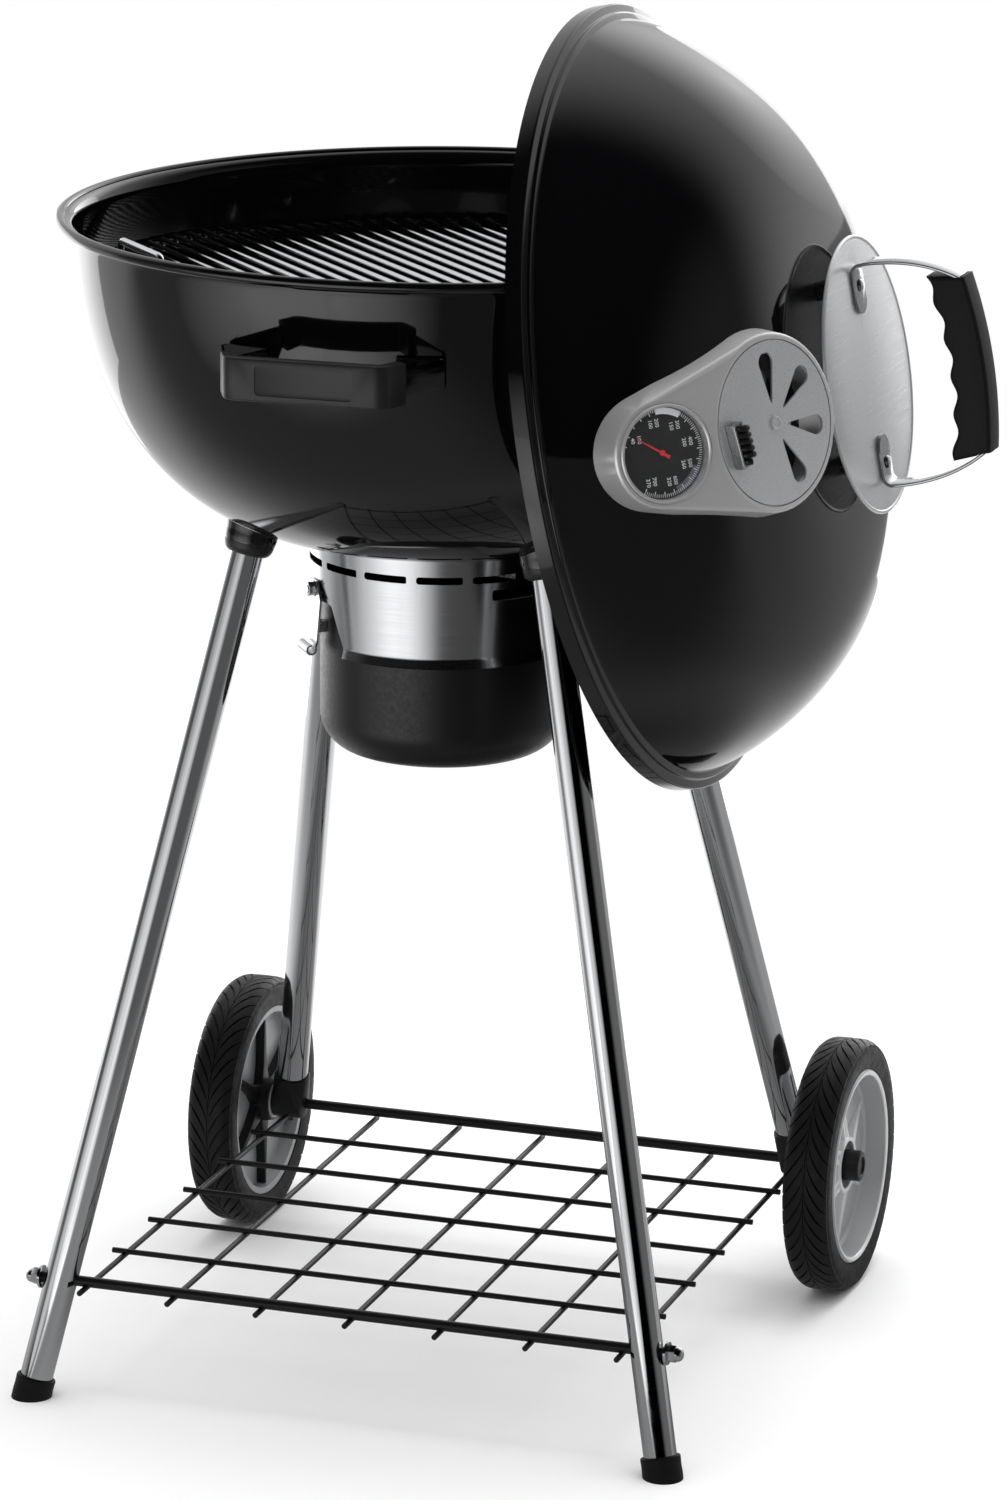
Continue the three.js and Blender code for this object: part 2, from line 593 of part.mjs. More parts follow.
/** Sheet bracket on the bowl's inside with a ledge for each grate. */
function grateBracket(angle) {
  const inside = (z) => bowlInsideAt(z) - 2 * GAP;
  const upper = grateRingZ - GRATE_RING_WIRE - GAP;
  const lower = coalRingZ - GRATE_RING_WIRE - GAP;
  const heights = numbers(0, 4).map((i) => lower - TAB_THICK + ((upper - lower + TAB_THICK) * i) / 4);
  const back = heights.map((z) => flat(inside(z), z));
  const front = [flat(inside(upper) - TAB_REACH, upper), flat(inside(upper) - TAB_REACH, upper - TAB_THICK),
    ...heights.slice(1, -1).reverse().map((z) => flat(inside(z) - TAB_THICK, z)),
    flat(inside(lower) - TAB_THICK, lower), flat(inside(lower) - 2 * TAB_REACH, lower),
    flat(inside(lower) - 2 * TAB_REACH, lower - TAB_THICK)];
  const sheet = plate([...back, ...front], -TAB_WIDTH / 2, TAB_WIDTH / 2);
  const turn = new THREE.Matrix4().makeBasis(vec(1, 0, 0), vec(0, 0, 1), vec(0, -1, 0));
  return turnZ(sheet.applyMatrix4(turn), angle);
}

// ---------- legs ----------

/** End points of a leg's axis: where it meets the bowl, and its lower end. */
function legEnds(front, side) {
  const angle = rad(front ? FRONT_LEG_ANGLE : REAR_LEG_ANGLE);
  const top = vec(side * LEG_CIRCLE * Math.sin(angle), (front ? -1 : 1) * LEG_CIRCLE * Math.cos(angle),
    bowlHeightAt(LEG_CIRCLE));
  if (front) return [top, vec(side * FRONT_FOOT_X, FRONT_FOOT_Y, 0)];
  return [top, vec(side * BRACKET_X, AXLE_Y, WHEEL_RADIUS)];
}

function legSocket(front, side) {
  const [top, foot] = legEnds(front, side);
  const profile = [flat(0, -2 * SOCKET_RADIUS), flat(SOCKET_RADIUS + 2 * SOCKET_FLARE, -2 * SOCKET_RADIUS),
    flat(SOCKET_RADIUS + SOCKET_FLARE, 0), flat(SOCKET_RADIUS, SOCKET_LENGTH), flat(0, SOCKET_LENGTH)];
  const bore = disc(LEG_RADIUS + GAP, 0, 2 * SOCKET_LENGTH, TUBE_ROUND);
  return cut(along(turned(profile, TUBE_ROUND), top, foot), bowlCutter(), along(bore, top, foot));
}

function legCollar(front, side) {
  const [top, foot] = legEnds(front, side);
  const from = SOCKET_LENGTH + GAP;
  return along(pipe(COLLAR_RADIUS, LEG_RADIUS + GAP, from, from + COLLAR_LENGTH), top, foot);
}

function leg(front, side) {
  const [top, foot] = legEnds(front, side);
  const end = top.distanceTo(foot) - (front ? CAP_FLOOR + GAP : LEG_TO_AXLE);
  const tube = along(pipe(LEG_RADIUS, LEG_RADIUS - LEG_WALL, LEG_START, end), top, foot);
  if (!front) return tube;
  return cut(tube, rodHole(side));
}

/** Hole through a front leg for the shelf's front rod. */
function rodHole(side) {
  const z = SHELF_ROD_Z;
  const from = vec(side * (rodEndX() - 4 * LEG_RADIUS), rodY(), z);
  const to = vec(side * (rodEndX() + 2 * LEG_RADIUS), rodY(), z);
  return wire(from, to, SHELF_ROD + GAP, SMALL_ROUND);
}

/** The front legs' axis at the shelf rod's height. */
function legAtRod() {
  const [top, foot] = legEnds(true, 1);
  return foot.clone().lerp(top, SHELF_ROD_Z / top.z);
}
const rodY = () => legAtRod().y;

/** Where the washers lie against the leaning front legs. */
function rodEndX() {
  const [top, foot] = legEnds(true, 1);
  const lean = (foot.x - top.x) / top.z;
  return legAtRod().x + LEG_RADIUS * Math.hypot(1, lean) + WASHER_RADIUS * lean + GAP;
}

function footCap(side) {
  const [top, foot] = legEnds(true, side);
  const end = top.distanceTo(foot);
  const body = along(disc(CAP_RADIUS, end - CAP_HEIGHT, end + CAP_RADIUS / 2, TUBE_ROUND), top, foot);
  const bore = along(disc(LEG_RADIUS + GAP, end - 2 * CAP_HEIGHT, end - CAP_FLOOR, TUBE_ROUND), top, foot);
  const floor = block(foot.x - 3 * CAP_RADIUS, foot.x + 3 * CAP_RADIUS, foot.y - 3 * CAP_RADIUS, foot.y + 3 * CAP_RADIUS,
    -2 * CAP_RADIUS, 0);
  return cut(body, floor, bore);
}

function axleBracket(side) {
  const [top, foot] = legEnds(false, side);
  const up = top.clone().sub(foot).normalize();
  const at = (d) => foot.clone().addScaledVector(up, d);
  const points = [];
  const collect = (geometry) => {
    const p = geometry.attributes.position;
    for (let i = 0; i < p.count; i++) points.push(new THREE.Vector3().fromBufferAttribute(p, i));
  };
  const barrel = wire(foot.clone().add(vec(-side * BRACKET_HALF, 0, 0)), foot.clone().add(vec(side * BRACKET_HALF, 0, 0)),
    BRACKET_RADIUS, SMALL_ROUND);
  collect(barrel);
  collect(wire(at(LEG_TO_AXLE - 2), at(LEG_TO_AXLE + BRACKET_SLEEVE), LEG_RADIUS + 2, TUBE_ROUND));
  const bore = along(disc(LEG_RADIUS + GAP, LEG_TO_AXLE - GAP, 3 * BRACKET_SLEEVE, TUBE_ROUND), foot, top);
  const axleBore = wire(vec(foot.x - 3 * BRACKET_HALF, foot.y, foot.z), vec(foot.x + 3 * BRACKET_HALF, foot.y, foot.z),
    AXLE_RADIUS + GAP, SMALL_ROUND);
  return cut(new ConvexGeometry(points), bore, axleBore);
}

// ---------- shelf, axle and wheels ----------

/** Height of the depth wires' axis at a distance from front to rear: they pass under the rod and the axle. */
function depthWireZ(y) {
  const front = SHELF_ROD_Z - SHELF_ROD - SHELF_WIRE + WELD;
  const rear = WHEEL_RADIUS - AXLE_RADIUS - SHELF_WIRE - GAP;
  return front + ((rear - front) * (y - rodY())) / (AXLE_Y - rodY());
}

function wireShelf() {
  const middle = (SHELF_DEPTH_WIRES - 1) / 2;
  const frontEnd = rodY() - SHELF_ROD - SHELF_FRONT_STICKOUT;
  const innerEnd = AXLE_Y + AXLE_RADIUS;
  const outerEnd = AXLE_Y - BRACKET_RADIUS - 3 * GAP - SHELF_ROD;
  const depthWires = numbers(0, SHELF_DEPTH_WIRES - 1).map((i) => {
    const x = (i - middle) * SHELF_PITCH_X;
    const end = i === 0 || i === SHELF_DEPTH_WIRES - 1 ? outerEnd : innerEnd;
    return wire(vec(x, frontEnd, depthWireZ(frontEnd)), vec(x, end, depthWireZ(end)), SHELF_WIRE);
  });
  const half = middle * SHELF_PITCH_X + SHELF_SIDE_STICKOUT;
  const crossWires = numbers(0, SHELF_CROSS_WIRES - 1).map((i) => {
    const y = rodY() + SHELF_CROSS_START + i * SHELF_PITCH_Y;
    const z = depthWireZ(y) + 2 * SHELF_WIRE - WELD;
    return wire(vec(-half, y, z), vec(half, y, z), SHELF_WIRE);
  });
  const end = rodEndX() + WASHER_THICK + NUT_LENGTH / 2;
  const rod = wire(vec(-end, rodY(), SHELF_ROD_Z), vec(end, rodY(), SHELF_ROD_Z), SHELF_ROD, SMALL_ROUND);
  return join(rod, ...depthWires, ...crossWires);
}

/** Washer and domed nut in one piece, on a front rod end. */
function shelfNut(side) {
  const bore = SHELF_ROD + GAP;
  const depth = WASHER_THICK + NUT_LENGTH / 2 + GAP;
  const profile = [flat(bore, 0), flat(WASHER_RADIUS, 0), flat(WASHER_RADIUS, WASHER_THICK),
    flat(NUT_RADIUS, WASHER_THICK), flat(NUT_RADIUS, WASHER_THICK + NUT_LENGTH / 2),
    flat(NUT_RADIUS * 0.7, WASHER_THICK + NUT_LENGTH * 0.85), flat(0, WASHER_THICK + NUT_LENGTH),
    flat(0, depth), flat(bore, depth)];
  const nut = turnedRing(profile, SMALL_ROUND);
  const from = vec(side * rodEndX(), rodY(), SHELF_ROD_Z);
  return along(nut, from, from.clone().add(vec(side, 0, 0)));
}

const wheelOuterFace = WHEEL_INNER_FACE + WHEEL_WIDTH;
const hubCapEnd = wheelOuterFace + GAP;
const webX = WHEEL_INNER_FACE + WEB_OFFSET;
const hubX = webX + WEB_THICK + HUB_PROUD;
const hubFloorX = hubX - HUB_PROUD + WEB_THICK / 2;

/** Puts a piece turned about +Z on the axle line, with its outer side away from the grill. */
const onAxle = (geometry, side) => along(geometry, vec(0, AXLE_Y, WHEEL_RADIUS), vec(side, AXLE_Y, WHEEL_RADIUS));

function tyre(side) {
  const [inner, outer] = [WHEEL_INNER_FACE, wheelOuterFace];
  const profile = [flat(TYRE_BORE, inner + 1), flat(WHEEL_RADIUS - TYRE_SHOULDER, inner),
    flat(WHEEL_RADIUS - TYRE_CROWN, inner + TYRE_CROWN), flat(WHEEL_RADIUS, inner + TYRE_SHOULDER),
    flat(WHEEL_RADIUS, outer - TYRE_SHOULDER), flat(WHEEL_RADIUS - TYRE_CROWN, outer - TYRE_CROWN),
    flat(WHEEL_RADIUS - TYRE_SHOULDER, outer), flat(TYRE_BORE, outer - 1)];
  return onAxle(turnedRing(profile, WHEEL_ROUND), side);
}

function wheelDisc(side) {
  const rim = TYRE_BORE - GAP;
  const rimInner = rim - 5;
  const bore = AXLE_RADIUS + GAP;
  const hubInnerX = BRACKET_X + BRACKET_HALF + GAP;
  const webFront = webX + WEB_THICK;
  const profile = [flat(bore, hubInnerX), flat(HUB_RECESS - 4, hubInnerX), flat(HUB_RECESS - 4, webX),
    flat(rimInner, webX), flat(rimInner, WHEEL_INNER_FACE + 2), flat(rim, WHEEL_INNER_FACE + 2),
    flat(rim, wheelOuterFace - 1.5), flat(rim - 2.5, wheelOuterFace), flat(rimInner, wheelOuterFace - 1.5),
    flat(rimInner, webFront), flat(HUB_RADIUS, webFront), flat(HUB_RADIUS, hubX), flat(HUB_RECESS, hubX),
    flat(HUB_RECESS, hubFloorX), flat(bore, hubFloorX)];
  const spoke = (i) => {
    const inside = HUB_RADIUS - 1.5;
    const tip = rimInner - 2;
    const points = [vec(inside, -SPOKE_ROOT, webFront - 1), vec(inside, SPOKE_ROOT, webFront - 1),
      vec(inside, 0, hubX - 0.6), vec(tip, -0.8, webFront - 1), vec(tip, 0.8, webFront - 1), vec(tip, 0, webFront + 1)];
    return turnZ(new ConvexGeometry(points), (360 / SPOKES) * i);
  };
  return onAxle(join(turnedRing(profile, WHEEL_ROUND), ...numbers(0, SPOKES - 1).map(spoke)), side);
}

function hubCap(side) {
  const from = hubFloorX + GAP;
  const end = Math.max(from + HUB_CAP_LENGTH, hubCapEnd);
  const bore = AXLE_RADIUS + GAP;
  const depth = axleEnd() + GAP;
  const profile = [flat(bore, from), flat(HUB_CAP_RADIUS + 2, from), flat(HUB_CAP_RADIUS + 2, from + 3),
    flat(HUB_CAP_RADIUS, from + 3), flat(HUB_CAP_RADIUS, end - 2), flat(HUB_CAP_RADIUS - 2, end), flat(0, end),
    flat(0, depth), flat(bore, depth)];
  return onAxle(turnedRing(profile, TUBE_ROUND), side);
}

const axleEnd = () => hubFloorX + GAP + HUB_CAP_LENGTH * 0.7;

const axle = () => wire(vec(-axleEnd(), AXLE_Y, WHEEL_RADIUS), vec(axleEnd(), AXLE_Y, WHEEL_RADIUS), AXLE_RADIUS, SMALL_ROUND);

// ---------- ash catcher ----------

const ashTop = bowlHeightAt(ASH_COLLAR_TOP - ASH_SHEET) - GAP;
const ashBottom = ashTop - ASH_COLLAR_HEIGHT;
const ashLipZ = ashBottom - ASH_COLLAR_LIP;
const ashRadiusAt = (z) => ASH_COLLAR_BOTTOM + ((ASH_COLLAR_TOP - ASH_COLLAR_BOTTOM) * (z - ashBottom)) / ASH_COLLAR_HEIGHT;

/** Outline of a slot with round ends, in degrees round the axis and height. */
function slotOutline(middle, halfAngle, z, height, radius) {
  const endAngle = THREE.MathUtils.radToDeg(height / 2 / radius);
  const right = arc(0, 0, 1, -90, 90, 2).map((p) => [middle + halfAngle - endAngle + p.x * endAngle, z + (p.y * height) / 2]);
  const left = arc(0, 0, 1, 90, 270, 2).map((p) => [middle - halfAngle + endAngle + p.x * endAngle, z + (p.y * height) / 2]);
  return [...right, ...left];
}

function ashCollar() {
  const profile = [flat(ASH_COLLAR_TOP - ASH_SHEET, ashTop), flat(ASH_COLLAR_TOP, ashTop),
    flat(ASH_COLLAR_BOTTOM, ashBottom), flat(ASH_COLLAR_BOTTOM + ASH_COLLAR_LIP_OUT, ashLipZ),
    flat(ASH_COLLAR_BOTTOM + ASH_COLLAR_LIP_OUT - ASH_SHEET, ashLipZ), flat(ASH_COLLAR_BOTTOM - ASH_SHEET, ashBottom)];
  const [inner, outer] = [ASH_COLLAR_BOTTOM - 3 * ASH_SHEET, ASH_COLLAR_TOP + 6 * ASH_SHEET];
  const slotZ = ashTop - ASH_SLOT_DROP;
  const halfSlot = THREE.MathUtils.radToDeg(ASH_SLOT_LENGTH / 2 / ASH_COLLAR_TOP);
  const leverZ = ashTop - LEVER_DROP;
  const slots = numbers(0, ASH_SLOTS - 1).map((i) =>
    radialPrism(slotOutline(-72 + (360 / ASH_SLOTS) * i, halfSlot, slotZ, ASH_SLOT_HEIGHT, ASH_COLLAR_TOP), inner, outer));
  const leverSlot = radialPrism(slotOutline((LEVER_SLOT_FROM + LEVER_SLOT_TO) / 2, (LEVER_SLOT_TO - LEVER_SLOT_FROM) / 2,
    leverZ, LEVER_SLOT_HEIGHT, ASH_COLLAR_TOP), inner - 12, outer + 12);
  const windows = LATCH_ANGLES.map((angle) => radialPrism([[angle - WINDOW_HALF_BOTTOM, ashLipZ - 2],
    [angle + WINDOW_HALF_BOTTOM, ashLipZ - 2], [angle + WINDOW_HALF_TOP, ashTop - WINDOW_TOP_DROP],
    [angle - WINDOW_HALF_TOP, ashTop - WINDOW_TOP_DROP]], inner - 12, outer + 12));
  const boltHoles = LATCH_ANGLES.map((angle) => turnZ(wire(vec(inner - 5, 0, boltZ), vec(outer, 0, boltZ),
    BOLT_RADIUS + 2 * GAP, SMALL_ROUND), angle));
  return cut(turnedRing(profile), ...slots, leverSlot, ...windows, ...boltHoles);
}

const boltZ = ashTop - LATCH_BOLT_DROP;
const latchX = ashRadiusAt(boltZ) + GAP + 0.5;

/** Pressed latch on its bolt: plate, rolled finger edge, and the pad that bears on the pot. */
function potLatch(angle) {
  const half = LATCH_WIDTH / 2;
  const outline = [flat(-half * 0.8, 6), flat(half * 0.5, 7), flat(half, -6), flat(half * 0.45, -LATCH_LENGTH * 0.8),
    flat(half * 0.1, -LATCH_LENGTH), flat(-half * 0.9, -LATCH_LENGTH), flat(-half, -4)];
  const sheet = plate(outline, 0, LATCH_SHEET);
  const turn = new THREE.Matrix4().makeBasis(vec(0, 1, 0), vec(0, 0, 1), vec(1, 0, 0));
  const body = sheet.applyMatrix4(turn).translate(latchX, 0, boltZ);
  const curlZ = boltZ - LATCH_LENGTH;
  const curl = wire(vec(latchX + LATCH_CURL * 0.8, -half - 4, curlZ), vec(latchX + LATCH_CURL * 0.8, half * 0.2, curlZ),
    LATCH_CURL, SMALL_ROUND);
  const padZ = boltZ - LATCH_TAB_DROP;
  const pad = block(POT_RADIUS * Math.cos(Math.PI / WHEEL_ROUND) + GAP, latchX + LATCH_SHEET / 2, -LATCH_TAB / 2, LATCH_TAB / 2,
    padZ - LATCH_TAB / 2, padZ + LATCH_TAB / 2);
  const hole = wire(vec(latchX - 5, 0, boltZ), vec(latchX + 5, 0, boltZ), BOLT_RADIUS + 2 * GAP, SMALL_ROUND);
  return turnZ(cut(join(body, curl, pad), hole), angle);
}

function latchBolt(angle) {
  const inner = ashRadiusAt(boltZ) - ASH_SHEET - 2;
  const outer = latchX + LATCH_SHEET + GAP;
  const profile = [flat(0, inner), flat(BOLT_RADIUS, inner), flat(BOLT_RADIUS, outer), flat(BOLT_HEAD, outer),
    flat(BOLT_HEAD, outer + BOLT_HEAD_LENGTH), flat(0, outer + BOLT_HEAD_LENGTH)];
  return turnZ(along(turned(profile, SMALL_ROUND), vec(0, 0, boltZ), vec(1, 0, boltZ)), angle);
}

function ashPot() {
  const top = ashTop - POT_TOP_DROP;
  const bottom = top - POT_HEIGHT;
  const outer = [flat(0, bottom), ...arc(POT_RADIUS - POT_CORNER, bottom + POT_CORNER, POT_CORNER, -90, 0, 3),
    flat(POT_RADIUS, top)];
  const inside = POT_RADIUS - POT_SHEET;
  const inner = [flat(inside, top), ...arc(POT_RADIUS - POT_CORNER, bottom + POT_CORNER, POT_CORNER - POT_SHEET, 0, -90, 3),
    flat(0, bottom + POT_SHEET)];
  return turned([...outer, ...inner], WHEEL_ROUND);
}

const vaneZ = () => bowlFloorAt(VANE_RADIUS) + GAP;
const leverZ = () => ashTop - LEVER_DROP;

function damperVanes() {
  const blades = numbers(0, VENT_HOLES - 1).map((i) => {
    const middle = (360 / VENT_HOLES) * i + LEVER_ANGLE + 60 - VENT_HOLE_ANGLE / 2;
    const outline = [...arc(0, 0, VANE_RADIUS, middle - VANE_ANGLE / 2, middle + VANE_ANGLE / 2, 4),
      flat(-2 * Math.cos(rad(middle)), -2 * Math.sin(rad(middle)))];
    return plate(outline, vaneZ(), vaneZ() + VANE_THICK);
  });
  const hub = disc(3 * SPINDLE_RADIUS, bowlFloorAt(3 * SPINDLE_RADIUS) + GAP, vaneZ() + 2 * VANE_THICK, SMALL_ROUND);
  const spindle = disc(SPINDLE_RADIUS, leverZ() + LEVER_THICK / 2 + GAP, vaneZ() + VANE_THICK, SMALL_ROUND);
  return join(hub, spindle, ...blades);
}

function damperLever() {
  const z = leverZ();
  const half = LEVER_WIDTH / 2;
  const bar = block(-half, LEVER_REACH, -half, half, z - LEVER_THICK / 2, z + LEVER_THICK / 2);
  const eye = disc(2 * SPINDLE_RADIUS, z - LEVER_THICK / 2 - 1, z + LEVER_THICK / 2, SMALL_ROUND);
  const knob = new THREE.SphereGeometry(KNOB_RADIUS, SMALL_ROUND, 8).translate(LEVER_REACH, 0, z);
  return turnZ(join(bar, eye, knob), LEVER_ANGLE);
}

// ---------- lid: pieces in the lid's own frame, +Z out of its dome, -Y to the front ----------

function lidShell() {
  const outer = lidLine();
  const inner = offsetLine(outer, STEEL);
  inner[inner.length - 1].x = 0;
  inner[0].y = 0;
  const shell = turned([...inner.reverse(), ...outer]);
  return cut(shell, ...lidVentHoles(), thermometerHole());
}

/** The dome's room below its outer face, grown by a gap. */
function domeCutter() {
  const line = offsetLine(lidLine(), -GAP);
  line[0].y = 0;
  line[line.length - 1].x = 0;
  return turned([flat(0, 0), ...line]);
}

/** Puts a piece at a flat seat of the housing: its +Z out of the lid, +X to the front, +Y down the hung lid. */
function onSeat(geometry, radius, height, tilt) {
  return geometry.clone().rotateZ(-Math.PI / 2).rotateX(rad(tilt)).translate(0, -radius, height);
}
/** Puts a piece on the seat that stands off the dome, at a distance in from the dome's side. */
function onDome(geometry, inset, standoff, tilt) {
  const radius = DOME_RADIUS - inset;
  return onSeat(geometry, radius, domeHeightAt(radius) + standoff, tilt);
}
const onVent = (geometry) => onDome(geometry, VENT_INSET, VENT_STANDOFF, VENT_TILT);
const onThermo = (geometry) => onDome(geometry, THERMO_INSET, THERMO_STANDOFF, THERMO_TILT);

/** Outline of a drop-shaped slot pointing along +X. */
function dropOutline() {
  const spread = THREE.MathUtils.radToDeg(Math.acos(VENT_SLOT_END / (VENT_SLOT_OUTER - VENT_SLOT_INNER)));
  return [flat(VENT_SLOT_INNER, 0), ...arc(VENT_SLOT_OUTER, 0, VENT_SLOT_END, -180 + spread, 180 - spread, 8)];
}

/** The vent's slots, turned to the side of the lid's middle. */
const ventSlots = (from, to) => numbers(0, VENT_SLOTS - 1).map((i) => {
  const angle = VENT_SLOT_STEP * (i - (VENT_SLOTS - 1) / 2) + VENT_FAN_ANGLE;
  return turnZ(plate(dropOutline(), from, to), angle);
});

const lidVentHoles = () => ventSlots(-HOUSING_DEPTH, 2).map(onVent);
const thermometerHole = () => onThermo(disc(SPINDLE_RADIUS + GAP, -HOUSING_DEPTH, 0, DIAL_ROUND));

function ventHousing() {
  const ringPoints = (radius, z, place) => {
    const ring = new THREE.BufferGeometry().setFromPoints(arc(0, 0, radius, 0, 360 - 360 / 20, 19).map((p) => vec(p.x, p.y, z)));
    const p = place(ring).attributes.position;
    return Array.from({ length: p.count }, (_, i) => new THREE.Vector3().fromBufferAttribute(p, i));
  };
  const edge = 2.5; // softened top edge
  const points = [...ringPoints(HOUSING_VENT_RADIUS - edge, 0, onVent), ...ringPoints(HOUSING_VENT_RADIUS, -edge, onVent),
    ...ringPoints(HOUSING_VENT_RADIUS + HOUSING_DRAFT, -HOUSING_DEPTH, onVent),
    ...ringPoints(HOUSING_THERMO_RADIUS - edge, 0, onThermo), ...ringPoints(HOUSING_THERMO_RADIUS, -edge, onThermo),
    ...ringPoints(HOUSING_THERMO_RADIUS + HOUSING_DRAFT, -HOUSING_DEPTH, onThermo)];
  const bore = onVent(disc(VENT_BORE, -HOUSING_DEPTH * 2, 5, DIAL_ROUND));
  const well = onThermo(disc(CASE_RADIUS + GAP, -CASE_DEPTH - GAP, 20, DIAL_ROUND));
  const stemHole = onThermo(disc(SPINDLE_RADIUS + GAP, -HOUSING_DEPTH, 0, DIAL_ROUND));
  return cut(new ConvexGeometry(points), domeCutter(), ventSeatBore(bore), well, stemHole);
}

/** The vent bore leaves a bridge across the middle for the disc's rivet. */
function ventSeatBore(bore) {
  const bridge = onVent(block(-VENT_BORE - 1, VENT_BORE + 1, -VENT_RIVET, VENT_RIVET, -6, 0));
  return cut(bore, bridge, onVent(disc(2 * VENT_RIVET, -6, 0, SMALL_ROUND)));
}

function ventDisc() {
  const from = GAP;
  const sheet = disc(VENT_DISC_RADIUS, from, from + VENT_DISC_SHEET);
  const rivet = disc(VENT_RIVET, from, from + VENT_DISC_SHEET + 1.4, SMALL_ROUND);
  return onVent(cut(join(sheet, rivet), ...ventSlots(-1, 5)));
}

/** Upright tab on the vent disc with a wound wire grip. */
function ventTab() {
  const foot = GAP + VENT_DISC_SHEET + GAP;
  const half = TAB_COIL_LENGTH / 2;
  const upright = block(TAB_OFFSET + TAB_COIL_RADIUS, TAB_OFFSET + TAB_COIL_RADIUS + TAB_PLATE_THICK, -half, half, foot,
    foot + TAB_PLATE_HEIGHT);
  const coilZ = foot + TAB_COIL_RADIUS + 1;
  const coil = wire(vec(TAB_OFFSET, -half, coilZ), vec(TAB_OFFSET, half, coilZ), TAB_COIL_RADIUS, 10);
  const cheek = (s) => block(TAB_OFFSET - 2, TAB_OFFSET + TAB_COIL_RADIUS + 1, s * half - 1, s * half + 1, foot, coilZ + 2);
  return onVent(turnZ(join(upright, coil, cheek(-1), cheek(1)), TAB_ANGLE));
}

const caseFloor = -CASE_DEPTH + 2;

function thermometerCase() {
  const outer = CASE_RADIUS;
  const inner = CASE_RADIUS - CASE_WALL;
  const stem = SPINDLE_RADIUS;
  const stemEnd = -HOUSING_DEPTH * 0.75;
  const profile = [flat(0, stemEnd), flat(stem, stemEnd), flat(stem, -CASE_DEPTH), flat(outer, -CASE_DEPTH),
    flat(outer, CASE_PROUD - 1), flat(outer - 1, CASE_PROUD), flat(inner, CASE_PROUD), flat(inner, caseFloor), flat(0, caseFloor)];
  return onThermo(turned(profile, DIAL_ROUND));
}

const dialRadius = CASE_RADIUS - CASE_WALL - GAP;
const thermometerDial = () => onThermo(disc(dialRadius, caseFloor + GAP, caseFloor + GAP + DIAL_SHEET, DIAL_ROUND));
const needleZ = caseFloor + GAP + DIAL_SHEET + GAP;

function thermometerNeedle() {
  const half = NEEDLE_WIDTH / 2;
  const pointer = plate([flat(-NEEDLE_TAIL, -1.6 * half), flat(0, -half), flat(NEEDLE_LENGTH, -half * 0.3),
    flat(NEEDLE_LENGTH, half * 0.3), flat(0, half), flat(-NEEDLE_TAIL, 1.6 * half)], needleZ, needleZ + NEEDLE_SHEET);
  const boss = disc(NEEDLE_WIDTH, needleZ, needleZ + 2 * NEEDLE_SHEET, SMALL_ROUND);
  return onThermo(turnZ(join(pointer, boss), NEEDLE_ANGLE));
}

function thermometerLens() {
  const from = needleZ + 3 * NEEDLE_SHEET;
  return onThermo(disc(dialRadius, from, from + LENS_SHEET, DIAL_ROUND));
}

const heatShield = () => disc(SHIELD_RADIUS, SHIELD_HEIGHT - SHIELD_SHEET, SHIELD_HEIGHT);

/** Shouldered rivet: its shoulder holds the shield off the dome, its head holds the strap's foot. */
function lidRivet(side) {
  const x = side * LID_RIVET_OFFSET;
  const seat = domeHeightAt(LID_RIVET_OFFSET + SPACER_RADIUS) + 3 * GAP;
  const back = SHIELD_HEIGHT - SHIELD_SHEET - GAP;
  const head = SHIELD_HEIGHT + GAP + LID_STRAP_THICK + GAP;
  const shank = LID_RIVET_RADIUS / 2;
  const profile = [flat(0, seat), flat(SPACER_RADIUS, seat), flat(SPACER_RADIUS, back), flat(shank, back),
    flat(shank, head), flat(LID_RIVET_RADIUS, head), flat(LID_RIVET_RADIUS * 0.7, head + LID_RIVET_HEAD),
    flat(0, head + LID_RIVET_HEAD)];
  return turned(profile, SMALL_ROUND).translate(x, 0, 0);
}

const rivetBore = (side) => disc(LID_RIVET_RADIUS / 2 + GAP, SHIELD_HEIGHT - 10, SHIELD_HEIGHT + 10, SMALL_ROUND)
  .translate(side * LID_RIVET_OFFSET, 0, 0);

/** Middle line of the lid handle's strap, sideways and above the rim plane. */
function lidStrapLine() {
  const base = SHIELD_HEIGHT + GAP + LID_STRAP_THICK / 2;
  const top = SHIELD_HEIGHT + LID_STRAP_REACH;
  const bend = 3 * LID_STRAP_THICK;
  const arm = new THREE.QuadraticBezierCurve(flat(LID_STRAP_HALF, base + bend), flat(LID_STRAP_HALF + 1, (base + top) / 2 + 10),
    flat(LID_STRAP_TOP_HALF, top)).getPoints(5);
  const half = [flat(LID_STRAP_HALF - LID_STRAP_FOOT, base), ...arc(LID_STRAP_HALF - bend, base + bend, bend, -90, -20, 3),
    ...arm];
  const crown = flat(0, top + LID_STRAP_THICK);
  return [...half, crown, ...half.map((p) => flat(-p.x, p.y)).reverse()];
}

/** Stands a flat piece, drawn sideways by height, upright across the lid. */
const standUp = (geometry) => geometry.clone()
  .applyMatrix4(new THREE.Matrix4().makeBasis(vec(1, 0, 0), vec(0, 0, 1), vec(0, -1, 0)));

const lidStrapBody = (thickness, half) => standUp(strip(lidStrapLine(), thickness, -half, half));
const lidStrap = () => cut(lidStrapBody(LID_STRAP_THICK, LID_STRAP_WIDTH / 2), rivetBore(-1), rivetBore(1));

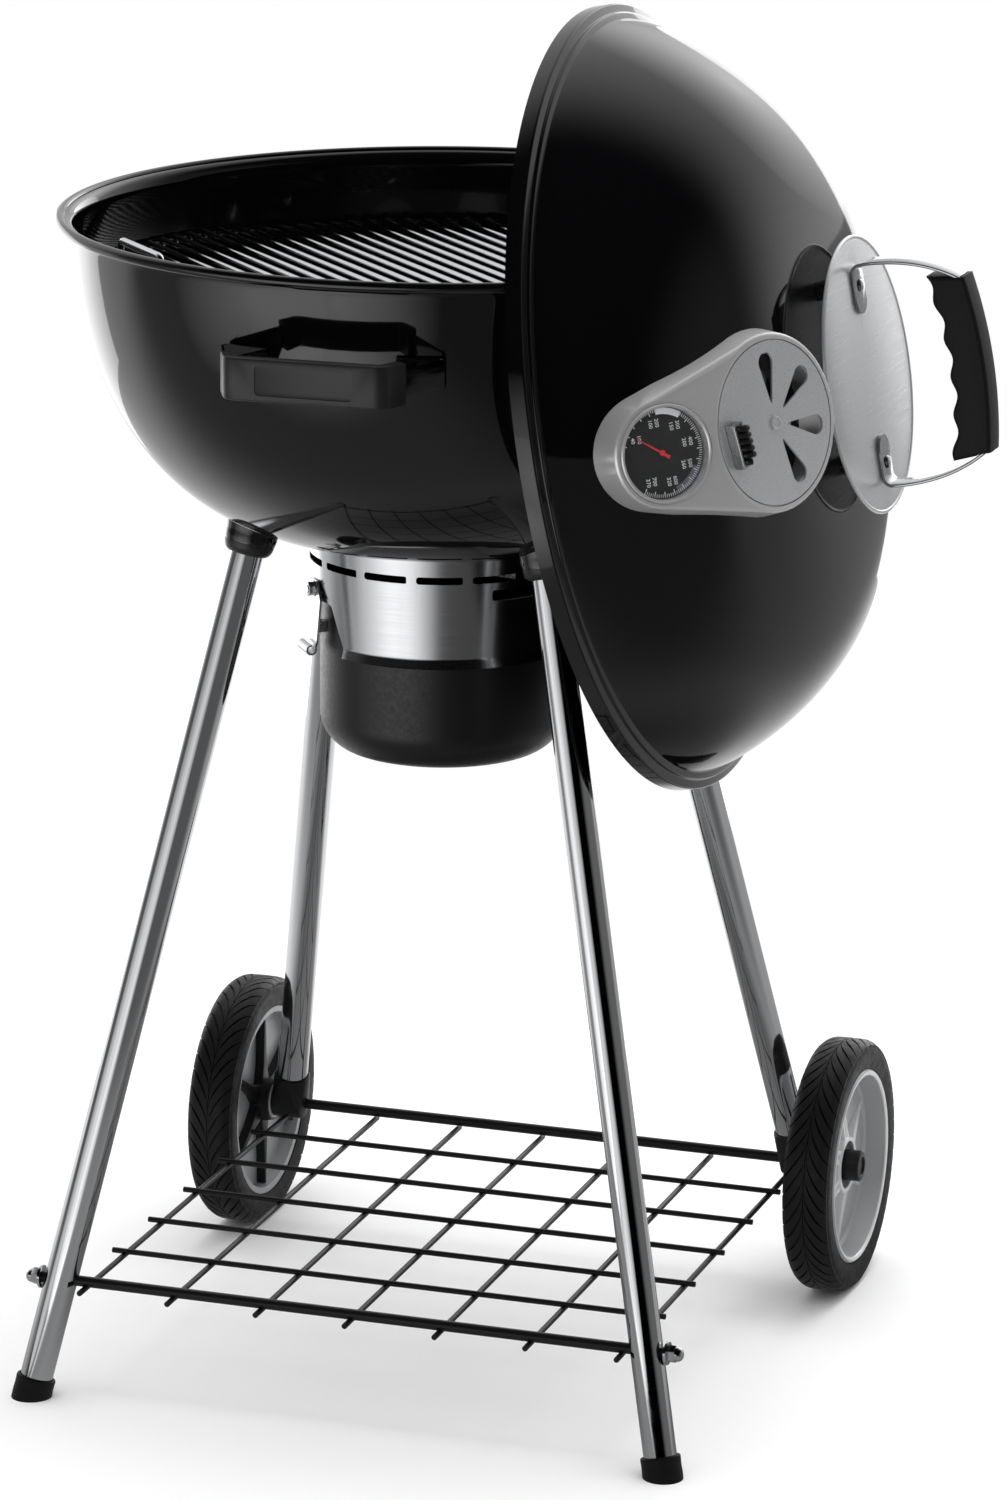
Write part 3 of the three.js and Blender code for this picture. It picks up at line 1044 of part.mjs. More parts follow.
function lidGrip() {
  const top = SHIELD_HEIGHT + LID_STRAP_REACH + LID_GRIP_BACK + LID_STRAP_THICK;
  const inner = top - LID_GRIP_DEPTH - LID_GRIP_BACK;
  const back = [flat(LID_GRIP_HALF - 1, top - 3), flat(LID_GRIP_HALF / 2, top + 2), flat(0, top + 3),
    flat(-LID_GRIP_HALF / 2, top + 2), flat(-LID_GRIP_HALF + 1, top - 3)];
  const steps = FINGER_GROOVES * 4;
  const fingers = numbers(0, steps).map((i) => {
    const x = -LID_GRIP_HALF - 2 + ((2 * LID_GRIP_HALF + 4) * i) / steps;
    const bow = 8 * (1 - (x / LID_GRIP_HALF) ** 2);
    return flat(x, inner + bow + FINGER_GROOVE_DEPTH * Math.sin((Math.PI * 2 * FINGER_GROOVES * i) / steps));
  });
  const body = standUp(plate([...back, ...fingers], -LID_GRIP_WIDTH / 2, LID_GRIP_WIDTH / 2));
  return cut(body, lidStrapBody(LID_STRAP_THICK + 2 * GAP, LID_STRAP_WIDTH / 2 + GAP));
}

// ---------- hanging the lid ----------

const lidOut = vec(Math.cos(rad(LID_TILT)), 0, Math.sin(rad(LID_TILT)));
const lidUp = vec(-Math.sin(rad(LID_TILT)), 0, Math.cos(rad(LID_TILT)));

/** The rim centre of the hung lid: its hook holds the rim's bead close under the dome. */
function lidCentre() {
  const depth = domeHeightAt(HANG_OFFSET) - STEEL - RIM_BEAD - HANG_CLEARANCE;
  return vec(RIM_RADIUS, 0, RIM_HEIGHT).addScaledVector(lidOut, -depth).addScaledVector(lidUp, -HANG_OFFSET);
}

/** Where the dome's inner face stands at a height, on the middle line of the hung lid. */
function domeInnerX(z) {
  const centre = lidCentre();
  let x = centre.x + DOME_HEIGHT;
  for (let i = 0; i < 20; i++) {
    const across = -(x - centre.x) * Math.sin(rad(LID_TILT)) + (z - centre.z) * Math.cos(rad(LID_TILT));
    const height = domeHeightAt(Math.abs(across)) - STEEL;
    x = centre.x + (height - (z - centre.z) * Math.sin(rad(LID_TILT))) / Math.cos(rad(LID_TILT));
  }
  return x;
}

/** Bent strap welded inside the dome that hooks over the bowl's rim and reaches inside the bowl. */
function lidHook() {
  const seat = RIM_HEIGHT + RIM_BEAD + GAP;
  const inside = BOWL_RADIUS - STEEL - 2 * HOOK_SHEET;
  const wall = (z) => domeInnerX(z) - 3 * GAP;
  const tailTop = seat + HOOK_TAIL;
  const outline = [flat(inside - HOOK_SHEET, seat - HOOK_TIP), flat(inside, seat - HOOK_TIP), flat(inside, seat),
    flat(wall(seat), seat), flat(wall(seat + HOOK_TAIL / 2), seat + HOOK_TAIL / 2), flat(wall(tailTop), tailTop),
    flat(wall(tailTop) - HOOK_SHEET, tailTop), flat(wall(seat + HOOK_SHEET) - 2 * HOOK_SHEET, seat + HOOK_SHEET),
    flat(inside - HOOK_SHEET, seat + HOOK_SHEET)];
  const turn = new THREE.Matrix4().makeBasis(vec(1, 0, 0), vec(0, 0, 1), vec(0, -1, 0));
  return plate(outline, -HOOK_WIDTH / 2, HOOK_WIDTH / 2).applyMatrix4(turn);
}

// ---------- assembly ----------

const grill = new THREE.Group();
const stand = new THREE.Group(); // everything in the frame of the bowl's axis on the floor
const hungLid = new THREE.Group(); // everything in the lid's own frame
const toOrigin = new THREE.Group();
toOrigin.add(stand);
grill.add(toOrigin);
stand.add(hungLid);
hungLid.position.copy(lidCentre());
hungLid.rotation.y = rad(90 - LID_TILT);

function add(group, name, geometry, material) {
  const mesh = new THREE.Mesh(geometry, material);
  mesh.name = name;
  group.add(mesh);
}

const LEFT_RIGHT = [['left', -1], ['right', 1]];

add(stand, 'bowl', bowl(), ENAMEL);
add(stand, 'bowl_handle_strap', handleStrap(), BLACK_PAINT);
add(stand, 'bowl_handle_grip', handleGrip(), BLACK_PLASTIC);
for (const [name, side] of LEFT_RIGHT) add(stand, `bowl_handle_rivet_${name}`, handleRivet(side), STAINLESS);
[75, 195, 315].forEach((angle, i) => add(stand, `grate_bracket_${i + 1}`, grateBracket(angle), STAINLESS));
add(stand, 'charcoal_grate', charcoalGrate(), STAINLESS);
add(stand, 'cooking_grate', cookingGrate(), CHROME);
for (const [name, side] of LEFT_RIGHT) add(stand, `grate_flap_${name}`, grateFlap(side), CHROME);

for (const front of [true, false]) {
  for (const [name, side] of LEFT_RIGHT) {
    const place = `${front ? 'front' : 'rear'}_${name}`;
    add(stand, `leg_socket_${place}`, legSocket(front, side), ENAMEL);
    add(stand, `leg_collar_${place}`, legCollar(front, side), BLACK_PLASTIC);
    add(stand, `leg_${place}`, leg(front, side), CHROME);
  }
}
add(stand, 'wire_shelf', wireShelf(), BLACK_PAINT);
add(stand, 'axle', axle(), BLACK_PAINT);
for (const [name, side] of LEFT_RIGHT) {
  add(stand, `foot_cap_${name}`, footCap(side), RUBBER);
  add(stand, `axle_bracket_${name}`, axleBracket(side), BLACK_PLASTIC);
  add(stand, `shelf_nut_${name}`, shelfNut(side), CHROME);
  add(stand, `tyre_${name}`, tyre(side), RUBBER);
  add(stand, `wheel_disc_${name}`, wheelDisc(side), WHEEL_SILVER);
  add(stand, `hub_cap_${name}`, hubCap(side), BLACK_PLASTIC);
}

add(stand, 'ash_collar', ashCollar(), STAINLESS);
add(stand, 'ash_pot', ashPot(), BLACK_PAINT);
add(stand, 'damper_vanes', damperVanes(), STAINLESS);
add(stand, 'damper_lever', damperLever(), STAINLESS);
LATCH_ANGLES.forEach((angle, i) => {
  add(stand, `pot_latch_${LEFT_RIGHT[i][0]}`, potLatch(angle), STAINLESS);
  add(stand, `latch_bolt_${LEFT_RIGHT[i][0]}`, latchBolt(angle), STAINLESS);
});

add(hungLid, 'lid', lidShell(), ENAMEL);
add(stand, 'lid_hook', lidHook(), STAINLESS);
add(hungLid, 'vent_housing', ventHousing(), CAST_SILVER);
add(hungLid, 'vent_disc', ventDisc(), STAINLESS);
add(hungLid, 'vent_tab', ventTab(), BLACK_PAINT);
add(hungLid, 'thermometer_case', thermometerCase(), CHROME);
add(hungLid, 'thermometer_dial', thermometerDial(), DIAL_BLACK);
add(hungLid, 'thermometer_needle', thermometerNeedle(), NEEDLE_RED);
add(hungLid, 'thermometer_lens', thermometerLens(), GLASS);
add(hungLid, 'heat_shield', cut(heatShield(), rivetBore(-1), rivetBore(1)), STAINLESS);
add(hungLid, 'lid_handle_strap', lidStrap(), STAINLESS);
add(hungLid, 'lid_handle_grip', lidGrip(), RUBBER);
[['top', -1], ['bottom', 1]].forEach(([name, side]) => add(hungLid, `lid_rivet_${name}`, lidRivet(side), STAINLESS));

grill.updateMatrixWorld(true);
const bounds = new THREE.Box3().setFromObject(grill, true);
toOrigin.position.set(-(bounds.min.x + bounds.max.x) / 2, -(bounds.min.y + bounds.max.y) / 2, -bounds.min.z);
grill.updateMatrixWorld(true);

export default grill;
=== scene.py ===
"""Kettle charcoal grill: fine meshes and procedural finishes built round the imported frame.

Lengths are millimetres in the grill's own frame: the bowl's axis is Z, the floor is zero, -Y is the front and
+X the side where the lid hangs. A finished piece is turned to metres in the frame's own place.
"""

import json
import logging
import math
from dataclasses import dataclass
from enum import Enum

import bmesh
import bpy
from mathutils import Matrix, Vector

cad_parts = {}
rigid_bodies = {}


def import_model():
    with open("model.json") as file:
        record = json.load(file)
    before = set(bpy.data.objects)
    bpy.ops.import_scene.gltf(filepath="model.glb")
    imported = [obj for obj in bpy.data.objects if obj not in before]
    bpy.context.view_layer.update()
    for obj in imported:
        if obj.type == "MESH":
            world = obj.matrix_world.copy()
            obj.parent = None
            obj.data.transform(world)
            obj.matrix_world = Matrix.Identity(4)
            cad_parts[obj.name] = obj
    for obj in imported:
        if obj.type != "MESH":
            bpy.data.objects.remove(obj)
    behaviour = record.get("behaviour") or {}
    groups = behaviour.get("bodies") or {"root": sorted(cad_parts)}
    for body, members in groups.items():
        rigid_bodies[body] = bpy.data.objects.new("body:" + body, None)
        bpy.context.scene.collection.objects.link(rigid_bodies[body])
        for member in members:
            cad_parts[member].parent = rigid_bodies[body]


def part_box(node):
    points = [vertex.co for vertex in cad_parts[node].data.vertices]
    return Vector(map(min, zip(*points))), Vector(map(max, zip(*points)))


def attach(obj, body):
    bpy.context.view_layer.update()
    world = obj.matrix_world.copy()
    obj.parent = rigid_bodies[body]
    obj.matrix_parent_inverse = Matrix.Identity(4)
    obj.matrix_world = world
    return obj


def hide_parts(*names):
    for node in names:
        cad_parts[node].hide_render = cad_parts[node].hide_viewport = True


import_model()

LOG = logging.getLogger("kettle_grill")
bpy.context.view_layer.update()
MM = 0.001
GAP = 0.3  # between pieces that touch

Line = list[tuple[float, float]]


class Body(Enum):
    """The rigid bodies of the frame."""

    STAND = "stand"
    LID = "lid"
    VENT = "vent"
    NEEDLE = "needle"
    WHEEL_LEFT = "wheel_left"
    WHEEL_RIGHT = "wheel_right"
    COOKING_GRATE = "cooking_grate"
    FLAP_LEFT = "flap_left"
    FLAP_RIGHT = "flap_right"
    ASH_POT = "ash_pot"
    DAMPER = "damper"
    LATCH_LEFT = "latch_left"
    LATCH_RIGHT = "latch_right"


class Side(Enum):
    """Left and right as seen from the front."""

    LEFT = -1
    RIGHT = 1

    @property
    def word(self) -> str:
        """The side's name in piece names."""
        return self.name.lower()


# ---------- finishes ----------


def srgb(code: str) -> tuple[float, float, float, float]:
    """Turns an sRGB hex colour to linear light.

    Args:
        code: a colour such as "#B4B5B6".

    Returns:
        Linear red, green, blue and an alpha of 1.
    """
    parts = [int(code[i:i + 2], 16) / 255 for i in (1, 3, 5)]
    linear = [c / 12.92 if c <= 0.04045 else ((c + 0.055) / 1.055) ** 2.4 for c in parts]
    return (*linear, 1.0)


def add_node(tree: bpy.types.NodeTree, kind: str, settings: dict | None = None,
             inputs: dict | None = None) -> bpy.types.Node:
    """Adds a node with its settings and its links.

    Args:
        tree: the tree the node goes into.
        kind: the node's type name.
        settings: attributes to set on the node.
        inputs: values or output sockets for its inputs, by socket name or number.

    Returns:
        The new node.
    """
    node = tree.nodes.new(kind)
    for key, value in (settings or {}).items():
        setattr(node, key, value)
    for key, value in (inputs or {}).items():
        if isinstance(value, bpy.types.NodeSocket):
            tree.links.new(value, node.inputs[key])
        else:
            node.inputs[key].default_value = value
    return node


def calculate(tree: bpy.types.NodeTree, operation: str, *values: object) -> bpy.types.NodeSocket:
    """The output of a math node on some values or sockets."""
    return add_node(tree, "ShaderNodeMath", {"operation": operation}, dict(enumerate(values))).outputs[0]


def soft_step(tree: bpy.types.NodeTree, value: bpy.types.NodeSocket, start: float, end: float, low: float = 0.0,
              high: float = 1.0) -> bpy.types.NodeSocket:
    """A value that goes smoothly from low to high as another goes from start to end."""
    return add_node(tree, "ShaderNodeMapRange", {"interpolation_type": "SMOOTHERSTEP"},
                    {"Value": value, "From Min": start, "From Max": end, "To Min": low, "To Max": high}).outputs[0]


@dataclass(frozen=True)
class Finish:
    """A surface that is even but for its grain: a noise moves its roughness and raises a fine bump."""

    name: str
    slot: str
    colour: str
    roughness: float
    metallic: float = 0.0
    specular: float = 0.5
    spread: float = 0.02  # how far the roughness wanders
    grain: tuple[float, float, float] = (3.0, 3.0, 3.0)  # size of the noise, mm
    relief: float = 0.01  # height of the bump, mm
    follows_surface: bool = False  # the grain lies on the piece's own map, not on its place

    def place(self, tree: bpy.types.NodeTree) -> bpy.types.NodeSocket:
        """Gives the coordinates that the grain lies on.

        Args:
            tree: the material's tree.

        Returns:
            The coordinates, one unit per grain.
        """
        source = add_node(tree, "ShaderNodeUVMap", {"uv_map": "grain"}).outputs[0] if self.follows_surface \
            else add_node(tree, "ShaderNodeTexCoord").outputs["Object"]
        scale = [1 / (size * MM) for size in self.grain]
        return add_node(tree, "ShaderNodeMapping", inputs={"Vector": source, "Scale": scale}).outputs[0]

    def dress(self, tree: bpy.types.NodeTree, shader: bpy.types.Node) -> None:
        """Adds the grain to roughness and bump.

        Args:
            tree: the material's tree.
            shader: its shader.
        """
        noise = add_node(tree, "ShaderNodeTexNoise", inputs={"Vector": self.place(tree), "Scale": 1.0, "Detail": 3.0})
        low, high = max(self.roughness - self.spread, 0.0), self.roughness + self.spread
        rough = add_node(tree, "ShaderNodeMapRange",
                         inputs={"Value": noise.outputs[0], "From Min": 0.3, "From Max": 0.7,
                                 "To Min": low, "To Max": high})
        tree.links.new(rough.outputs[0], shader.inputs["Roughness"])
        bump = add_node(tree, "ShaderNodeBump", inputs={"Height": noise.outputs[0], "Distance": self.relief * MM,
                                                        "Strength": 1.0})
        tree.links.new(bump.outputs[0], shader.inputs["Normal"])

    def material(self) -> bpy.types.Material:
        """Builds the material, or gives the one already built.

        Returns:
            The finish's one material.
        """
        known = bpy.data.materials.get(self.name)
        if known:
            return known
        made = bpy.data.materials.new(self.name)
        made.use_nodes = True
        tree = made.node_tree
        shader = tree.nodes["Principled BSDF"]
        shader.inputs["Base Color"].default_value = srgb(self.colour)
        shader.inputs["Metallic"].default_value = self.metallic
        shader.inputs["Specular IOR Level"].default_value = self.specular
        self.dress(tree, shader)
        return made


@dataclass(frozen=True)
class Glass(Finish):
    """Clear glass: it lets the view through and keeps a faint mirror."""

    alpha: float = 0.05

    def dress(self, tree: bpy.types.NodeTree, shader: bpy.types.Node) -> None:
        """Makes the shader clear but for a faint mirror."""
        shader.inputs["Roughness"].default_value = self.roughness
        shader.inputs["Alpha"].default_value = self.alpha


# A grain has its real size, but one that would be too fine to show is drawn coarser, and its comment says so.

# Porcelain enamel, fired on steel: deep black, glassy, with a slight orange peel of about 3 mm, drawn at 9.
ENAMEL = Finish("porcelain_enamel", "enamel", "#050506", 0.05, specular=0.6, spread=0.015, grain=(9, 9, 9),
                relief=0.012)
# Chrome plate on steel tube and wire: a near mirror with a trace of polishing haze.
CHROME = Finish("chrome_plate", "chrome", "#D9DADC", 0.07, metallic=1, spread=0.03, grain=(14, 14, 14), relief=0.002)
# Stainless sheet brushed round the piece: fine lines that stretch each highlight across them.
# Real ones are about 0.1 mm apart, these 0.5.
BRUSHED_ROUND = Finish("brushed_stainless_round", "stainless", "#B0B1B3", 0.2, metallic=1, spread=0.05,
                       grain=(60, 0.5, 1), relief=0.006, follows_surface=True)
# Stainless sheet brushed along one direction, as it comes off the roll: lines of about 0.1 mm, drawn at 0.6.
BRUSHED_SHEET = Finish("brushed_stainless_sheet", "stainless", "#D6D7D9", 0.33, metallic=0.8, spread=0.07,
                       grain=(0.6, 45, 0.6), relief=0.005)
# Small stainless pressings, tumbled after stamping: a soft shine with dents of about 0.5 mm, drawn at 2.
TUMBLED_STEEL = Finish("tumbled_stainless", "stainless", "#BDBEC0", 0.24, metallic=1, spread=0.06, grain=(2, 2, 2),
                       relief=0.006)
# Bent stainless strap, buffed along it after bending: lines of about 0.1 mm, drawn at 0.8.
POLISHED_STEEL = Finish("polished_stainless", "stainless", "#A9AAAC", 0.16, metallic=1, spread=0.04,
                        grain=(0.8, 20, 0.8), relief=0.003)
# Die-cast aluminium, bead blasted and lacquered: an even satin silver with a grit of
# about 0.2 mm, drawn at 0.6.
CAST_ALUMINIUM = Finish("cast_aluminium", "cast_silver", "#CFCFCF", 0.36, metallic=0.75, spread=0.05,
                        grain=(0.6, 0.6, 0.6), relief=0.012)
# Bent steel strap with a black nickel plate: a dark, fairly sharp mirror.
BLACK_NICKEL = Finish("black_nickel_plate", "black_paint", "#737476", 0.14, metallic=1, spread=0.04, grain=(4, 4, 4),
                      relief=0.004)
# Glass-filled nylon, moulded: dark grey-black with a spark-eroded texture of about 0.3 mm,
# drawn at 0.8.
NYLON = Finish("moulded_nylon", "black_plastic", "#121213", 0.4, specular=0.45, spread=0.06,
               grain=(0.8, 0.8, 0.8), relief=0.02)
# Soft rubber, moulded: matt and slightly dusty.
RUBBER = Finish("moulded_rubber", "rubber", "#0C0C0D", 0.55, specular=0.3, spread=0.07,
                grain=(1.2, 1.2, 1.2), relief=0.02)
# Blow-moulded tyre: matt black with a slight sheen on worn parts.
TREAD = Finish("moulded_tyre", "tyre_black", "#121213", 0.5, specular=0.4, spread=0.09, grain=(5, 5, 5), relief=0.03)
# Powder coat on wire and strap: satin black with a fine pebble.
POWDER_COAT = Finish("powder_coat", "black_paint", "#0D0D0E", 0.38, spread=0.06, grain=(1.5, 1.5, 1.5), relief=0.015)
# Heat-proof paint on the ash pot: flat black, a little chalky.
HEAT_PAINT = Finish("heat_proof_paint", "black_paint", "#080809", 0.38, specular=0.4, spread=0.06,
                    grain=(3, 3, 3), relief=0.012)
# Silver-painted moulded plastic of the wheel discs: metal flake of about 0.1 mm, drawn at 1.5,
# under a dull clear coat.
SILVER_PAINT = Finish("silver_painted_plastic", "wheel_silver", "#B2B4B6", 0.4, metallic=0.5, spread=0.06,
                      grain=(1.5, 1.5, 1.5), relief=0.01)
# The same silver made lighter on its raised edges: a painted highlight.
SILVER_HIGHLIGHT = Finish("silver_plastic_painted_highlight", "wheel_silver", "#E2E3E4", 0.34, metallic=0.5, spread=0.04,
                     grain=(4, 4, 4), relief=0.001)
# Screen-printed dial: flat black ink with white marks and a blue zone, and a painted needle.
DIAL_INK = Finish("dial_black_ink", "dial_black", "#16181B", 0.45, spread=0.04, grain=(1, 1, 1), relief=0.003)
DIAL_WHITE = Finish("dial_white_ink", "dial_black", "#D8DCDD", 0.5, spread=0.04, grain=(1, 1, 1), relief=0.003)
DIAL_BLUE = Finish("dial_blue_ink", "dial_black", "#56616E", 0.5, spread=0.04, grain=(1, 1, 1), relief=0.003)
NEEDLE_PAINT = Finish("needle_red_paint", "needle_red", "#C3202B", 0.35, spread=0.04, grain=(1, 1, 1), relief=0.003)
# The gauge's lens: nearly clear, with a faint sharp mirror.
LENS_GLASS = Glass("gauge_glass", "glass", "#FFFFFF", 0.02, metallic=1)

# ---------- shapes ----------

# Stands up a shape drawn flat: its Y goes up and its Z to the front.
UPRIGHT = Matrix(((1, 0, 0, 0), (0, 0, -1, 0), (0, 1, 0, 0), (0, 0, 0, 1)))
# Turns a shape drawn flat to look along +X, with its Y up.
OUTWARD = Matrix(((0, 0, 1, 0), (1, 0, 0, 0), (0, 1, 0, 0), (0, 0, 0, 1)))


class Solid:
    """Vertices, faces and grain map of a shape, in millimetres."""

    def __init__(self, verts: list | None = None, faces: list | None = None, maps: list | None = None) -> None:
        """Takes the three lists.

        Args:
            verts: the points.
            faces: the numbers of each face's points.
            maps: grain map of each face's corners; without it the grain lies on X and Y.
        """
        self.verts: list[Vector] = [Vector(v) for v in verts or []]
        self.faces: list[tuple[int, ...]] = [tuple(f) for f in faces or []]
        self.maps: list[list[tuple[float, float]]] = maps or [[self.verts[i].xy[:] for i in f] for f in self.faces]

    def __add__(self, other: "Solid") -> "Solid":
        """Both shapes in one, where they lie.

        Args:
            other: the second shape.

        Returns:
            A new shape.
        """
        shift = len(self.verts)
        both = Solid(self.verts + other.verts, self.faces, self.maps + other.maps)
        both.faces = self.faces + [tuple(i + shift for i in f) for f in other.faces]
        return both

    def moved(self, place: Matrix) -> "Solid":
        """The shape after a turn and shift."""
        return Solid([place @ v for v in self.verts], self.faces, self.maps)

    def turned(self, degrees: float) -> "Solid":
        """The shape turned about the Z axis by an angle in degrees."""
        return self.moved(Matrix.Rotation(math.radians(degrees), 4, "Z"))

    def mesh(self, name: str, scale: float = 1.0, shift: Vector = Vector()) -> bpy.types.Mesh:
        """Makes a mesh with faces that look out.

        Args:
            name: the mesh's name.
            scale: millimetres times this.
            shift: added after scaling.

        Returns:
            The mesh, with its grain map.
        """
        mesh = bpy.data.meshes.new(name)
        mesh.from_pydata([v * scale + shift for v in self.verts], [], self.faces)
        layer = mesh.uv_layers.new(name="grain")
        flat = [c for corners in self.maps for uv in corners for c in (uv[0] * MM, uv[1] * MM)]
        layer.data.foreach_set("uv", flat)
        work = bmesh.new()
        work.from_mesh(mesh)
        bmesh.ops.remove_doubles(work, verts=work.verts, dist=1e-4 * max(scale, MM))
        bmesh.ops.recalc_face_normals(work, faces=work.faces)
        work.to_mesh(mesh)
        work.free()
        return mesh


def solid_of(mesh: bpy.types.Mesh) -> Solid:
    """Reads a mesh back into a shape.

    Args:
        mesh: any mesh, in millimetres.

    Returns:
        The shape, with its grain map if it has one.
    """
    layer = mesh.uv_layers.get("grain")
    maps = None
    if layer:
        maps = [[tuple(c / MM for c in layer.data[i].uv) for i in p.loop_indices] for p in mesh.polygons]
    return Solid([v.co for v in mesh.vertices], [p.vertices for p in mesh.polygons], maps)


def add_object(name: str, data: bpy.types.ID) -> bpy.types.Object:
    """Makes an object and puts it in the scene.

    Args:
        name: the object's name.
        data: its mesh, curve, lamp or camera.

    Returns:
        The object.
    """
    made = bpy.data.objects.new(name, data)
    bpy.context.collection.objects.link(made)
    return made


def worked(holder: bpy.types.Object) -> Solid:
    """Takes the shape of an object after its modifiers.

    Args:
        holder: the object, which is then removed.

    Returns:
        The shape.
    """
    mesh = bpy.data.meshes.new_from_object(holder.evaluated_get(bpy.context.evaluated_depsgraph_get()))
    shape = solid_of(mesh)
    holder.modifiers.clear()
    bpy.data.objects.remove(holder)
    return shape


def arc(cx: float, cy: float, radius: float, start: float, end: float, steps: int = 12) -> Line:
    """Points of an arc, angles in degrees."""
    angles = [math.radians(start + (end - start) * i / steps) for i in range(steps + 1)]
    return [(cx + radius * math.cos(a), cy + radius * math.sin(a)) for a in angles]


def offset(line: Line, distance: float) -> Line:
    """Moves an open line to its left.

    Args:
        line: its points.
        distance: how far, or less than 0 for right.

    Returns:
        The moved line.
    """
    moved = []
    for i, (x, y) in enumerate(line):
        (x0, y0), (x1, y1) = line[max(i - 1, 0)], line[min(i + 1, len(line) - 1)]
        length = math.hypot(x1 - x0, y1 - y0)
        moved.append((x - (y1 - y0) / length * distance, y + (x1 - x0) / length * distance))
    return moved


def rounded(line: Line, radius: float, steps: int = 5) -> Line:
    """An open line with each inner corner rounded.

    Args:
        line: its corners.
        radius: of the rounding, where there is room for it.
        steps: parts in each corner.

    Returns:
        The line with its arcs.
    """
    points = [line[0]]
    for before, corner, after in zip(line, line[1:], line[2:]):
        c, a, b = Vector(corner), Vector(before), Vector(after)
        into, out = (a - c).normalized(), (b - c).normalized()
        half = into.angle(out, math.pi) / 2
        if half > math.pi / 2 - 0.02:
            points.append(corner)
            continue
        reach = min(radius / math.tan(half), (a - c).length * 0.49, (b - c).length * 0.49)
        start, end = c + into * reach, c + out * reach
        for i in range(steps + 1):
            t = i / steps
            points.append(tuple((1 - t) ** 2 * start + 2 * t * (1 - t) * c + t * t * end))
    return [*points, line[-1]]


def rounded_loop(corners: Line, radius: float) -> Line:
    """A closed line with each corner rounded."""
    start = tuple((a + b) / 2 for a, b in zip(corners[0], corners[-1]))
    return rounded([start, *corners, start], radius)[:-1]


def curve(points: Line, steps: int = 16) -> Line:
    """Points of the quadratic curve with three control points.

    Args:
        points: start, control point and end.
        steps: parts of the curve.

    Returns:
        Its points.
    """
    a, b, c = (Vector(p) for p in points)
    spots = [i / steps for i in range(steps + 1)]
    return [tuple((1 - t) ** 2 * a + 2 * t * (1 - t) * b + t * t * c) for t in spots]


def revolve(profile: Line, sides: int = 96, closed: bool = False) -> Solid:
    """Turns a profile of radius and height round the Z axis.

    Args:
        profile: its points; one on the axis becomes a pole.
        sides: parts round the axis.
        closed: whether the last point joins the first.

    Returns:
        The turned shape, its grain map running round and along the profile.
    """
    run = [0.0]
    ring = profile + profile[:1] if closed else profile
    for (r0, z0), (r1, z1) in zip(ring, ring[1:]):
        run.append(run[-1] + math.hypot(r1 - r0, z1 - z0))
    verts, rows = [], []
    for radius, z in profile:
        count = sides if radius > 1e-6 else 1
        rows.append([len(verts) + i for i in range(count)])
        spots = [2 * math.pi * i / sides for i in range(count)]
        verts += [(radius * math.cos(a), radius * math.sin(a), z) for a in spots]
    faces, maps = [], []
    width = 2 * math.pi * max(r for r, _ in profile) / sides
    for k in range(len(ring) - 1):
        low, high = rows[k], rows[(k + 1) % len(rows)]
        for i in range(sides):
            j = (i + 1) % sides
            corners = [(low[i % len(low)], i, k), (low[j % len(low)], i + 1, k),
                       (high[j % len(high)], i + 1, k + 1), (high[i % len(high)], i, k + 1)]
            kept = []
            for corner in corners:
                if corner[0] not in [c[0] for c in kept]:
                    kept.append(corner)
            if len(kept) > 2:
                faces.append(tuple(c[0] for c in kept))
                maps.append([(c[1] * width, run[c[2]]) for c in kept])
    return Solid(verts, faces, maps)


def along(start: Vector, end: Vector) -> Matrix:
    """The place that stands a shape made on +Z at one point, looking at another."""
    turn = Vector((0, 0, 1)).rotation_difference((end - start).normalized())
    return Matrix.Translation(start) @ turn.to_matrix().to_4x4()


def disc(radius: float, low: float, high: float, edge: float = 0.0, sides: int = 64) -> Solid:
    """A round plate about Z between two heights, its rims rounded by edge."""
    profile = [(0, low), (radius, low), (radius, high), (0, high)]
    return revolve(rounded(profile, edge) if edge else profile, sides)


def rod(start: Vector, end: Vector, radius: float, sides: int = 20, edge: float = 0.4) -> Solid:
    """A round wire between two points with softened ends."""
    return disc(radius, 0, (end - start).length, edge, sides).moved(along(start, end))


def tube(path: list[Vector], radius: float, sides: int = 16) -> Solid:
    """A round wire along a smooth path.

    Args:
        path: its points.
        radius: of the wire.
        sides: parts round it.

    Returns:
        The wire, closed at both ends.
    """
    verts, faces, across = [], [], None
    for i, point in enumerate(path):
        ahead = (path[min(i + 1, len(path) - 1)] - path[max(i - 1, 0)]).normalized()
        across = across or ahead.orthogonal()
        across = (across - ahead * across.dot(ahead)).normalized()
        over = ahead.cross(across)
        for k in range(sides):
            angle = 2 * math.pi * k / sides
            verts.append(point + (across * math.cos(angle) + over * math.sin(angle)) * radius)
    for i in range(len(path) - 1):
        for k in range(sides):
            j = (k + 1) % sides
            faces.append((i * sides + k, i * sides + j, (i + 1) * sides + j, (i + 1) * sides + k))
    faces += [tuple(range(sides))[::-1], tuple(range((len(path) - 1) * sides, len(path) * sides))]
    return Solid(verts, faces)


